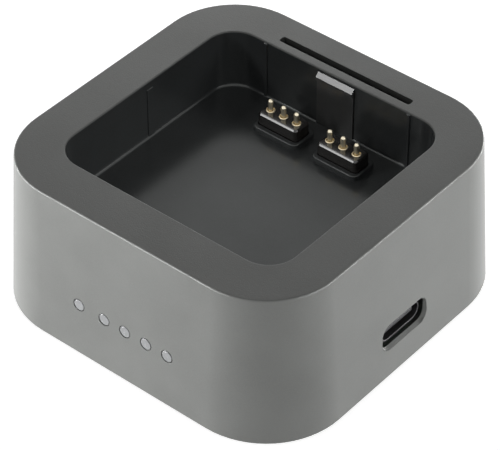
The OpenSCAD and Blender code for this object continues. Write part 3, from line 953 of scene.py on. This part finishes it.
@dataclass
class Housing:
    """The moulded housing with its bay, slot, windows and holes."""

    half_x: float = 29.6
    half_y: float = 29.1
    corner: float = 13.6
    low: float = 0.4
    rim: float = 26.4
    height: float = 26.0
    lean: float = 1.6
    rim_round: float = 0.3
    wall: float = 2.0
    lip: float = 1.2
    roof: float = 2.0
    cover_top: float = 2.4
    bay_half_x: float = 20.8
    bay_half_y: float = 20.0
    bay_y: float = 0.2
    bay_corner: float = 4.5
    bay_edge: float = 0.25
    bay_wall: float = 1.6
    floor: float = 16.1
    floor_thick: float = 1.8
    floor_round: float = 0.5
    steps: int = 16
    rib_root: float = 0.5
    back_rib_x: float = 13.65
    back_rib: tuple[float, float, float] = (0.3, 0.75, 26.2)  # half width, half depth, top
    side_rib_y: tuple[float, float] = (1.5, -9.1)
    side_rib: tuple[float, float, float] = (0.64, 0.65, 25.1)
    block_x: float = 5.74
    block_y: float = 14.85
    collar_half: tuple[float, float] = (4.36, 2.6)
    collar_hole: tuple[float, float] = (3.91, 1.8)
    collar_h: float = 0.95
    collar_corner: float = 1.1
    collar_edge: float = 0.2
    hole_corner: float = 0.7
    light_r: float = 1.05
    light_face: float = -28.1
    boss_r: float = 3.0
    pilot_r: float = 1.22
    small_boss_x: float = 12.6
    small_boss_r: float = 1.9
    port_half: tuple[float, float] = (4.9, 2.0)
    port_corner: float = 1.5
    port_chamfer: float = 0.4
    port_chamfer_x: float = 28.88
    port_face: float = 29.149
    port_lip: float = 0.5
    port_room: float = 0.6
    tongue_half: float = 3.45
    tongue_y: float = 20.5
    root_z: float = 16.2
    lintel: float = 25.95
    slot_half: float = 12.4
    slot_y: tuple[float, float] = (21.81, 23.05)

    def flare(self, z: float) -> float:
        """How far the sides stand in at a height, compared with the bottom."""
        return self.lean * (z - self.low) / self.height

    def outside(self) -> Object:
        """Shape the flared outside, the rim and the bay from one plate."""
        piece = plate("housing_shell", self.half_x, self.half_y, self.low, self.corner, self.steps)
        straight = self.height - self.rim_round
        rise([(self.flare(self.low + straight), straight)])
        rise(rounding(self.rim_round, 4))
        inset = self.half_x - self.flare(self.rim) - self.rim_round - self.bay_half_x - self.bay_edge
        rise([(inset, 0)])
        reach_y = self.half_y - self.flare(self.rim) - self.rim_round - inset
        bpy.ops.transform.resize(value=(1, (self.bay_half_y + self.bay_edge) / reach_y, 1),
                                 center_override=(0, 0, self.rim))
        bpy.ops.transform.translate(value=(0, self.bay_y, 0))
        rise(rounding(self.bay_edge, 3, hollow=True, down=True))
        rise([(0, -(self.rim - self.bay_edge - self.floor - self.floor_round))])
        rise(rounding(self.floor_round, 4, down=True))
        close_shell(piece)
        soften(piece, 0.2, lambda c: abs(c.z - self.low) < NEAR)
        return piece

    def room(self) -> Object:
        """Shape the hollow under the roof, less the bay's tub and the screw bosses."""
        start = self.low - 1
        lip = self.lip + self.flare(start)
        piece = plate("room", self.half_x - lip, self.half_y - lip, start, self.corner - lip, self.steps)
        rise([(self.flare(self.cover_top) - self.flare(start), self.cover_top - start)])
        rise([(self.wall - self.lip, 0)])
        rise([(self.flare(self.rim - self.roof) - self.flare(self.cover_top),
               self.rim - self.roof - self.cover_top)])
        close_shell(piece)
        under = self.floor - self.floor_thick
        tub = block("tub", self.bay_half_x + self.bay_wall, self.bay_half_y + self.bay_wall, under, self.rim,
                    self.bay_corner + self.bay_wall, 8, (0, self.bay_y))
        combine(piece, tub)
        for at in corners(*SCREW_AT, self.cover_top):
            combine(piece, rod("boss", self.boss_r, at, self.rim - self.cover_top))
        for side in Side:
            at = (side.value * self.small_boss_x, self.block_y, under - 1)
            combine(piece, rod("small_boss", self.small_boss_r, at, 3))
        return piece

    def ribs(self, piece: Object) -> None:
        """Join the upright ribs that centre the battery to the bay's walls."""
        back, side = self.bay_y + self.bay_half_y + self.rib_root, self.bay_half_x + self.rib_root
        rows = [(x, back, *self.back_rib) for x in (-self.back_rib_x, self.back_rib_x)]
        rows += [(-side, self.side_rib_y[0], *self.side_rib), (side, self.side_rib_y[1], *self.side_rib)]
        for x, y, half_x, half_y, top in rows:
            rib = block("rib", half_x, half_y, self.floor - 0.1, top, 0.1, 2, (x, y), edge=0.08)
            combine(piece, rib, "UNION")

    def collars(self, piece: Object) -> None:
        """Raise the two collars round the contact blocks and open their holes."""
        top = self.floor + self.collar_h
        hole_x, hole_y = self.collar_hole
        for side in Side:
            x = side.value * self.block_x
            at = (x, self.block_y)
            combine(piece, block("collar", *self.collar_half, self.floor - 0.1, top, self.collar_corner, 8,
                                 at, edge=self.collar_edge), "UNION")
            combine(piece, block("hole", hole_x, hole_y, self.floor - 4, self.floor + 2,
                                 self.hole_corner, 6, at))
            soften(piece, 0.08, lambda c, x=x: abs(c.z - top) < NEAR and abs(c.x - x) < hole_x + 0.04
                   and abs(c.y - self.block_y) < hole_y + 0.05)

    def latch_window(self, piece: Object) -> None:
        """Open the window and groove of the latch tongue, and the long slot behind the bay."""
        half = self.tongue_half + 0.08
        combine(piece, block("window", half, 1.0, self.root_z, self.lintel, centre=(0, self.tongue_y + 0.4)))
        combine(piece, rod("groove", 0.6, (-half, self.tongue_y, self.root_z), 2 * half, (0, 90, 0)))
        low, high = self.slot_y
        combine(piece, block("slot", self.slot_half, (high - low) / 2, self.rim - 4, self.rim + 1, 0.35, 4,
                             (0, (low + high) / 2)))
        soften(piece, 0.1, lambda c: abs(c.z - self.rim) < NEAR and abs(c.x) < self.slot_half + NEAR
               and low - NEAR < c.y < high + NEAR)

    def holes(self, piece: Object) -> None:
        """Open the light holes, the socket hole and the screw holes."""
        for x in LIGHT_X:
            combine(piece, rod("light_hole", self.light_r, (x, -self.half_y - 1, LIGHT_Z), 4, (-90, 0, 0)))
            soften(piece, 0.07, lambda c, x=x: c.y < self.light_face
                   and abs(math.hypot(c.x - x, c.z - LIGHT_Z) - self.light_r) < 0.05)
        half_w, half_h = self.port_half
        port = plate("port", half_h, half_w, -3, self.port_corner, 8)
        straight = self.port_chamfer_x - self.half_x + 3
        rise([(0, straight), (-self.port_chamfer, self.port_chamfer), (0, 3)])
        close_shell(port)
        combine(piece, lay(port, self.half_x))
        room = block("port_room", half_h + self.port_room, half_w + self.port_room, -3, 0,
                     self.port_corner + self.port_room, 8)
        combine(piece, lay(room, self.port_face - self.port_lip))
        for at in corners(*SCREW_AT, self.cover_top - 1):
            combine(piece, rod("pilot", self.pilot_r, at, 10))

    def build(self) -> None:
        """Build and dress the housing."""
        piece = self.outside()
        combine(piece, self.room())
        self.ribs(piece)
        self.collars(piece)
        self.latch_window(piece)
        self.holes(piece)
        complete(piece, Part(BODY, HOUSING, ("housing",)))


@dataclass
class Latch:
    """The sprung tongue in the bay's back wall, with its bevelled hook."""

    half: float = 3.45
    front: float = 19.95
    thick: float = 1.1
    root_z: float = 16.2
    top: float = 25.8
    back_wall: float = 20.2
    nose: float = 19.6
    nose_top: float = 25.05
    nose_low: float = 24.55
    under: float = 24.25
    edge: float = 0.06

    def build(self) -> None:
        """Build and dress the tongue."""
        middle = self.front + self.thick / 2
        piece = block("latch_spring_tongue", self.half, self.thick / 2, self.root_z, self.top,
                      centre=(0, middle))
        for z in (self.under, self.nose_low, self.nose_top):
            edit(piece)
            select_all()
            bpy.ops.mesh.bisect(plane_co=(0, middle, z), plane_no=(0, 0, 1))
        for z, y in ((self.nose_low, self.nose), (self.nose_top, self.nose), (self.top, self.back_wall)):
            pick(piece, Pick.VERTS, lambda c, z=z: abs(c.z - z) < NEAR and c.y < middle)
            bpy.ops.transform.translate(value=(0, y - self.front, 0))
        deselect()
        root = rod("root", self.thick / 2, (-self.half, middle, self.root_z), 2 * self.half, (0, 90, 0))
        combine(piece, root, "UNION")
        bevel_all(piece, self.edge, 2, 25)
        complete(piece, Part("latch", LATCH, ("latch_tongue",)))


@dataclass
class ContactBlocks:
    """The two contact blocks, each with three sprung pins."""

    block_x: float = 5.74
    y: float = 14.85
    pitch: float = 2.54
    low: float = 13.3
    top: float = 19.2
    half_x: float = 3.81
    half_y: float = 1.7
    corner: float = 0.6
    edge: float = 0.36
    crown: Steps = ((0.05, 0.14), (0.7, 0.8), (0.15, 0.06))
    flange_out: float = 0.6
    flange_t: float = 1.0
    barrel_r: float = 0.75
    bore_r: float = 0.56
    lip_r: float = 0.49
    mouth_r: float = 0.6
    barrel_top: float = 19.3
    tip: float = 21.2
    barrel_floor: float = 0.6
    gap_top: float = 0.3
    lip_edge: float = 0.12
    lip_h: float = 0.25
    cone_h: float = 0.2
    shaft_r: float = 0.42
    bulb_r: float = 0.45
    neck: tuple[float, float] = (20.35, 20.55)
    shoulder_r: float = 0.53
    shoulder_h: float = 1.6
    shoulder_edge: float = 0.05
    tail: float = 11.9
    tail_r: float = 0.35
    stroke: float = 1.3
    wire_r: float = 0.08
    spring_r: float = 0.4
    spring_gap: float = 0.03
    spring_turns: int = 8
    wire_sides: int = 8
    turn_steps: int = 20

    def block(self) -> Object:
        """Shape the left block and open its three holes."""
        at = (-self.block_x, self.y)
        piece = plate("contact_block_left_body", self.half_x, self.half_y, self.low, self.corner, 6, at)
        rise([(0, self.top - self.edge - self.low)])
        rise([(self.edge * inwards, self.edge * upwards) for inwards, upwards in self.crown])
        close_shell(piece)
        combine(piece, block("flange", self.half_x + self.flange_out, self.half_y + self.flange_out, self.low,
                             self.low + self.flange_t, 0.3, 3, at), "UNION")
        for k in (-1, 0, 1):
            foot = (at[0] + k * self.pitch, self.y, self.low - 1)
            combine(piece, rod("pin_hole", self.barrel_r + NEAR, foot, self.top - self.low + 2))
        return piece

    def barrel_profile(self) -> Profile:
        """Give the barrel's section, from the axis under it round to its inside floor."""
        r, lip, top = self.barrel_r, self.lip_edge, self.barrel_top
        floor = self.low + self.barrel_floor
        rows = [(0, self.tail), (self.tail_r, self.tail), (self.tail_r, self.low), (r, self.low),
                (r, top - lip)]
        rows += [(r - lip + lip * math.cos(a), top - lip + lip * math.sin(a))
                 for a in (math.pi / 6, math.pi / 3, math.pi / 2)]
        rows += [(self.mouth_r, top), (self.lip_r, top - self.cone_h), (self.lip_r, top - self.lip_h),
                 (self.bore_r, top - self.lip_h), (self.bore_r, floor), (0, floor)]
        return rows

    def plunger_profile(self) -> Profile:
        """Give the plunger's section, from the axis under it to its tip."""
        shaft, bulb, shoulder = self.shaft_r, self.bulb_r, self.shoulder_r
        high = self.barrel_top - self.gap_top
        foot, edge = high - self.shoulder_h, self.shoulder_edge
        neck_low, neck_high = self.neck
        rows = [(0, foot), (shoulder - edge, foot), (shoulder, foot + edge), (shoulder, high - 2 * edge),
                (shoulder - edge, high), (shaft, high), (shaft, neck_low), (bulb - 0.01, neck_high)]
        centre = self.tip - bulb
        rows += [(bulb * math.cos(a), centre + bulb * math.sin(a))
                 for a in (math.pi / 2 * k / 7 for k in range(8))]
        rows[-1] = (0, self.tip)
        return rows

    def spring(self, place: Place) -> Object:
        """Wind the first pin's spring, from its barrel's inside floor up to its plunger's foot.

        Args:
            place: Where the pin's axis stands.

        Returns:
            The closed coil.
        """
        low = self.low + self.barrel_floor + self.spring_gap + self.wire_r
        high = self.barrel_top - self.gap_top - self.shoulder_h - self.spring_gap - self.wire_r
        deselect()
        bpy.ops.mesh.primitive_circle_add(vertices=self.wire_sides, radius=self.wire_r,
                                          location=(self.spring_r, 0, 0), rotation=(math.radians(90), 0, 0))
        piece = bpy.context.object
        piece.name = "contact_spring_1"
        settle(piece)
        wind = piece.modifiers.new("winding", "SCREW")
        wind.angle = math.tau * self.spring_turns
        wind.screw_offset = high - low
        wind.steps = wind.render_steps = self.turn_steps * self.spring_turns
        bpy.ops.object.modifier_apply(modifier=wind.name)
        edit(piece)
        select_all()
        bpy.ops.mesh.fill_holes(sides=0)
        select_all()
        bpy.ops.mesh.normals_make_consistent(inside=False)
        bpy.ops.object.mode_set(mode="OBJECT")
        piece.location = (place[0], place[1], low)
        return piece

    @staticmethod
    def carries(kind: str, i: int) -> Part:
        """Say what a pin's barrel, plunger or spring carries."""
        finish = {"barrel": BARREL, "plunger": PLUNGER, "spring": SPRING_STEEL}[kind]
        body = f"plunger_{i}" if kind == "plunger" else BODY
        return Part(body, finish, (f"pin_{kind}_{i}",))

    def shorten(self, piece: Object) -> None:
        """Give a spring a mesh of its own.

        Args:
            piece: The spring.
        """
        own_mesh(piece)

    def build(self) -> None:
        """Build both blocks, the six barrels, the six plungers and their springs."""
        left = complete(self.block(), Part(BODY, BLOCK, ("contact_block_left",)), smooth=50)
        repeat(left, "contact_block_right_body", (2 * self.block_x * MILLIMETRE, 0, 0),
               Part(BODY, BLOCK, ("contact_block_right",)))
        places = [s.value * self.block_x + k * self.pitch for s in Side for k in (-1, 0, 1)]
        start = (places[0], self.y, 0)
        barrel = complete(spun("barrel_1", self.barrel_profile(), start), self.carries("barrel", 1),
                          weighted=False)
        plunger = complete(spun("plunger_pin_1", self.plunger_profile(), start),
                           self.carries("plunger", 1), weighted=False)
        spring = complete(self.spring(start), self.carries("spring", 1), smooth=60, weighted=False)
        self.shorten(spring)
        for i, x in enumerate(places[1:], 2):
            shift = ((x - places[0]) * MILLIMETRE, 0, 0)
            coil = repeat(spring, f"contact_spring_{i}", shift, self.carries("spring", i))
            self.shorten(coil)
            repeat(barrel, f"barrel_{i}", shift, self.carries("barrel", i))
            repeat(plunger, f"plunger_pin_{i}", shift, self.carries("plunger", i))


@dataclass
class Socket:
    """The lead's socket: a drawn steel shell and the plastic tongue in it."""

    mouth: float = 28.3
    length: float = 7.3
    half_w: float = 4.47
    half_h: float = 1.63
    wall: float = 0.3
    tongue_half: float = 3.345
    tongue_t: float = 0.7
    tongue_corner: float = 0.1
    tongue_edge: float = 0.12
    clearance: float = 0.02
    setback: float = 0.4
    body_l: float = 2.2
    leg_back: tuple[float, float] = (1.4, 5.2)
    leg_half: tuple[float, float] = (0.5, 0.14)
    leg_low: float = 3.87

    def bar(self, name: str, half_w: float, half_h: float, start: float, length: float, corner: float,
            edge: float = 0) -> Object:
        """Draw a bar along +X with an upright section.

        Args:
            name: The new object's name.
            half_w: Half its width along Y.
            half_h: Half its height.
            start: Where it starts along X.
            length: How far it runs.
            corner: Radius of its section's corners.
            edge: Radius of the edge at its far end.

        Returns:
            The closed bar.
        """
        return lay(block(name, half_h, half_w, 0, length, corner, 8, edge=edge), start)

    def build(self) -> None:
        """Build and dress the shell and the insulator."""
        start = self.mouth - self.length
        shell = self.bar("usb_shell", self.half_w, self.half_h, start, self.length, self.half_h - NEAR)
        inner = self.half_h - self.wall
        combine(shell, self.bar("hollow", self.half_w - self.wall, inner, start - 1, self.length + 2,
                                inner - NEAR))
        for back in self.leg_back:
            for side in Side:
                at = (self.mouth - back - self.leg_half[0], side.value * (self.half_w - self.wall / 2))
                combine(shell, block("leg", *self.leg_half, self.leg_low, PORT_Z, centre=at), "UNION")
        soften(shell, 0.08, lambda c: abs(c.x - self.mouth) < NEAR, 3)
        complete(shell, Part(BODY, SOCKET_STEEL, ("socket_shell",)))
        room = self.wall + self.clearance
        body = self.bar("usb_insulator", self.half_w - room, self.half_h - room, start, self.body_l,
                        self.half_h - room - NEAR)
        tongue = self.bar("tongue", self.tongue_half, self.tongue_t / 2, start + self.body_l - 0.1,
                          self.length - self.setback - self.body_l + 0.1, self.tongue_corner,
                          edge=self.tongue_edge)
        combine(body, tongue, "UNION")
        complete(body, Part(BODY, SOCKET_PLASTIC, ("socket_insulator",)))


@dataclass
class LightGuide:
    """One clear moulding that carries the light of five chips to the front."""

    radius: float = 0.95
    front: float = -28.54
    turn_y: float = -23.4
    bend: float = 1.6
    bottom: float = 7.17
    dome: float = 0.12
    sides: int = 28
    bar_half: tuple[float, float] = (9.4, 0.6)
    bar_y: float = -26.1

    @staticmethod
    def draw_out(y: float, z: float) -> None:
        """Extrude what is selected along Y and Z."""
        bpy.ops.mesh.extrude_region_move(TRANSFORM_OT_translate={"value": (0, y, z)})

    def build(self) -> None:
        """Build one pipe, copy it, join the bar and dress the guide."""
        x = LIGHT_X[0]
        piece = disc("light_pipes", self.radius, (x, self.turn_y, self.bottom), self.sides)
        bpy.ops.mesh.delete(type="ONLY_FACE")
        edit(piece, Pick.EDGES)
        select_all()
        self.draw_out(0, LIGHT_Z - self.bend - self.bottom)
        bpy.ops.mesh.spin(steps=8, angle=math.radians(-90), axis=(1, 0, 0),
                          center=(x, self.turn_y - self.bend, LIGHT_Z - self.bend))
        reach = self.turn_y - self.bend - self.front - self.dome
        self.draw_out(-reach, 0)
        radius = self.radius
        for inwards, forwards in rounding(self.dome, 3):
            self.draw_out(-forwards, 0)
            share = (radius - inwards) / radius
            bpy.ops.transform.resize(value=(share, 1, share), center_override=(x, self.front, LIGHT_Z))
            radius -= inwards
        select_all()
        bpy.ops.mesh.fill_holes(sides=0)
        tidy_faces(piece)
        pipes = [copied(piece, "pipe", (x - LIGHT_X[0], 0, 0)) for x in LIGHT_X[1:]]
        half_x, half = self.bar_half
        bar = block("bar", half_x, half, LIGHT_Z - half, LIGHT_Z + half, centre=(0, self.bar_y), edge=0.15)
        for pipe in pipes:
            combine(piece, pipe, "UNION")
        combine(piece, bar, "UNION")
        complete(piece, Part(BODY, GUIDE, ("light_guide",)))


@dataclass
class Base:
    """The base cover with its screws' countersinks, and the four rubber feet."""

    half_x: float = 28.288
    half_y: float = 27.788
    corner: float = 12.288
    low: float = 0.6
    top: float = 2.4
    foot_r: float = 4.0
    foot_h: float = 1.2
    foot_at: tuple[float, float] = (16, 15.5)
    post_at: tuple[float, float] = (21.8, 13)
    post_r: float = 2.2
    post_h: float = 2.17
    pilot_r: float = 0.92
    pilot_low: float = 1.47
    sink_r: float = 2.4
    sink_steps: Steps = ((1.1, 1.2), (0, 2))
    recess_r: float = 4.1

    def cover(self) -> None:
        """Build and dress the cover."""
        piece = block("base_plate", self.half_x, self.half_y, self.low, self.top, self.corner, 16)
        for at in corners(*self.post_at, self.top - 0.1):
            combine(piece, rod("post", self.post_r, at, self.post_h), "UNION")
        for at in corners(*self.post_at, self.pilot_low):
            combine(piece, rod("pilot", self.pilot_r, at, 6, sides=20))
        for at in corners(*SCREW_AT, self.low - NEAR / 4):
            sink = disc("sink", self.sink_r, at, 32)
            rise(self.sink_steps)
            close_shell(sink)
            combine(piece, sink)
        for at in corners(*self.foot_at, self.low - 1):
            combine(piece, rod("recess", self.recess_r, at, 1.6, sides=40))
        soften(piece, 0.1, lambda c: abs(c.z - self.low) < NEAR)
        complete(piece, Part(BODY, COVER, ("base_cover",)))

    def feet(self) -> None:
        """Build one foot with a shallow hollow underneath and copy it."""
        r, high = self.foot_r, self.foot_h
        profile = [(0, 0.18), (1.9, 0.18), (2.2, 0.08), (2.4, 0), (r - 0.35, 0), (r - 0.1, 0.08), (r, 0.3),
                   (r, high), (0, high)]
        x, y = self.foot_at
        first = complete(spun("foot_1", profile, (-x, -y, 0), 40),
                         Part(BODY, FOOT, ("rubber_foot_1",)))
        for i, (sx, sy) in enumerate(CORNERS[1:], 2):
            repeat(first, f"foot_{i}", ((sx + 1) * x * MILLIMETRE, (sy + 1) * y * MILLIMETRE, 0),
                   Part(BODY, FOOT, (f"rubber_foot_{i}",)))

    def build(self) -> None:
        """Build the cover and the feet."""
        self.cover()
        self.feet()


@dataclass
class Electronics:
    """The nodes whose CAD shape is right, which only take a finish."""

    finishes: dict[str, Finish] = field(default_factory=lambda: {
        "base_screws": STEEL, "contact_board": BOARD, "contact_board_screws": STEEL,
        "header_insulator": CHIP_BLACK, "header_pins": GOLD, "main_board": BOARD, "main_board_screws": STEEL,
        "socket_contacts": GOLD, "inductor_core": FERRITE, "inductor_coil": COIL,
        "charge_controller": CHIP_BLACK, "microcontroller": CHIP_BLACK, "input_capacitor": CAN,
        "output_capacitor": CAN,
        **{f"light_chip_{i}": CHIP_WHITE for i in range(1, 6)}})

    def build(self) -> None:
        """Give each node its finish."""
        for name, finish in self.finishes.items():
            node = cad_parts[name]
            node.data.materials.clear()
            node.data.materials.append(finish.material())
            log.info("%s keeps its CAD shape, finish %s", name, finish.name)


# ---- studio ----------------------------------------------------------------


def seen_rays(tree: Tree) -> NodeSocket:
    """Give 1 for camera, glossy and transmission rays, and 0 for the others."""
    path = tree.add("ShaderNodeLightPath").outputs
    either = tree.math("MAXIMUM", path["Is Camera Ray"], path["Is Glossy Ray"])
    return tree.math("MAXIMUM", either, path["Is Transmission Ray"])


@dataclass(frozen=True)
class Lamp:
    """A soft panel: where it stands, its size, its strength and what it faces."""

    name: str
    place: tuple[float, float, float]
    size: tuple[float, float]
    radiance: float
    aim: tuple[float, float, float] = (0, 0, 0.012)

    def build(self) -> None:
        """Place the lamp."""
        light = bpy.data.lights.new(self.name, "AREA")
        light.shape = "RECTANGLE"
        light.size, light.size_y = self.size
        light.energy = self.radiance * math.pi * self.size[0] * self.size[1]
        lamp = bpy.data.objects.new(self.name, light)
        bpy.context.scene.collection.objects.link(lamp)
        lamp.location = self.place
        lamp.rotation_euler = (Vector(self.aim) - Vector(self.place)).to_track_quat("-Z", "Y").to_euler()


@dataclass
class Studio:
    """Floor, background, lamps and camera."""

    lens: float = 189.63
    azimuth: float = 40.01
    elevation: float = 40.88
    roll: float = -0.2
    distance: float = 713.92
    across: float = -0.05
    up: float = 13.69
    unit: float = 0.00056
    lift: float = 0.0004
    world: float = 0.04
    floor_tone: tuple[float, float, float] = (0.6, 0.6, 0.6)
    glow: float = 0.85
    floor_size: float = 6.0
    floor_z: float = -0.00005
    lamps: tuple[Lamp, ...] = (
        Lamp("left_strip", (-0.150, -0.172, 0.0115), (0.36, 0.020), 57.0),
        Lamp("right_strip", (0.222, 0.075, 0.0115), (0.34, 0.020), 32.0),
        Lamp("rear_strip", (0.05, 0.265, 0.0115), (0.20, 0.020), 50.0),
        Lamp("far_panel", (-0.16, 0.19, 0.105), (0.20, 0.08), 5.7),
        Lamp("key", (-0.29, -0.43, 0.30), (0.11, 0.13), 6.1),
        Lamp("side_key", (0.464, 0.187, 0.29), (0.46, 0.12), 2.0),
    )

    def floor(self) -> None:
        """Lay a pale floor that keeps the object's shadow and is white around it."""
        deselect()
        bpy.ops.mesh.primitive_plane_add(size=self.floor_size, location=(0, 0, self.floor_z))
        ground = bpy.context.object
        ground.name = "studio_floor"
        material = bpy.data.materials.new("studio_floor")
        material.use_nodes = True
        tree = Tree(material.node_tree)
        out = tree.add("ShaderNodeOutputMaterial")
        shade = tree.add("ShaderNodeBsdfDiffuse", {"Color": tint(self.floor_tone, 1)})
        glow = tree.add("ShaderNodeEmission", {
            "Color": (1, 1, 1, 1), "Strength": tree.times(seen_rays(tree), self.glow)})
        both = tree.add("ShaderNodeAddShader", {0: shade.outputs[0], 1: glow.outputs[0]})
        tree.tree.links.new(both.outputs[0], out.inputs[0])
        ground.data.materials.append(material)

    def background(self) -> None:
        """Fill the background: white where it is seen or mirrored, low elsewhere."""
        world = bpy.data.worlds.new("studio")
        world.use_nodes = True
        bpy.context.scene.world = world
        tree = Tree(world.node_tree)
        out = tree.add("ShaderNodeOutputWorld")
        strength = tree.span(seen_rays(tree), 0, 1, self.world, 1.0)
        back = tree.add("ShaderNodeBackground", {"Color": (1, 1, 1, 1), "Strength": strength})
        tree.tree.links.new(back.outputs[0], out.inputs[0])

    def camera(self) -> None:
        """Place the camera at the photograph's angle."""
        a, e, r = (math.radians(v) for v in (self.azimuth, self.elevation, self.roll))
        back = Vector((math.sin(a) * math.cos(e), -math.cos(a) * math.cos(e), math.sin(e)))
        right = Vector((math.cos(a), math.sin(a), 0))
        up = back.cross(right)
        turned_right = math.cos(r) * right + math.sin(r) * up
        turned_up = math.cos(r) * up - math.sin(r) * right
        place = (back * self.distance + turned_right * self.across + turned_up * self.up) * self.unit
        lens = bpy.data.cameras.new("photo_camera")
        lens.lens, lens.sensor_width = self.lens, 36
        lens.clip_start, lens.clip_end = 0.01, 20
        camera = bpy.data.objects.new("photo_camera", lens)
        bpy.context.scene.collection.objects.link(camera)
        axes = Matrix((turned_right, turned_up, back)).transposed().to_4x4()
        camera.matrix_world = Matrix.Translation(place + Vector((0, 0, self.lift))) @ axes
        bpy.context.scene.camera = camera

    def build(self) -> None:
        """Set up the whole studio."""
        bpy.context.scene.view_settings.view_transform = "Standard"
        self.floor()
        self.background()
        for lamp in self.lamps:
            lamp.build()
        self.camera()


def main() -> None:
    """Build the charger's visible pieces and the studio."""
    logging.basicConfig(level=logging.INFO, format="%(message)s", stream=sys.stdout)
    for assembly in (Studio(), Housing(), Latch(), ContactBlocks(), Socket(), LightGuide(), Base(),
                     Electronics()):
        log.info("building %s", type(assembly).__name__)
        assembly.build()
    deselect()


if __name__ == "__main__":
    main()
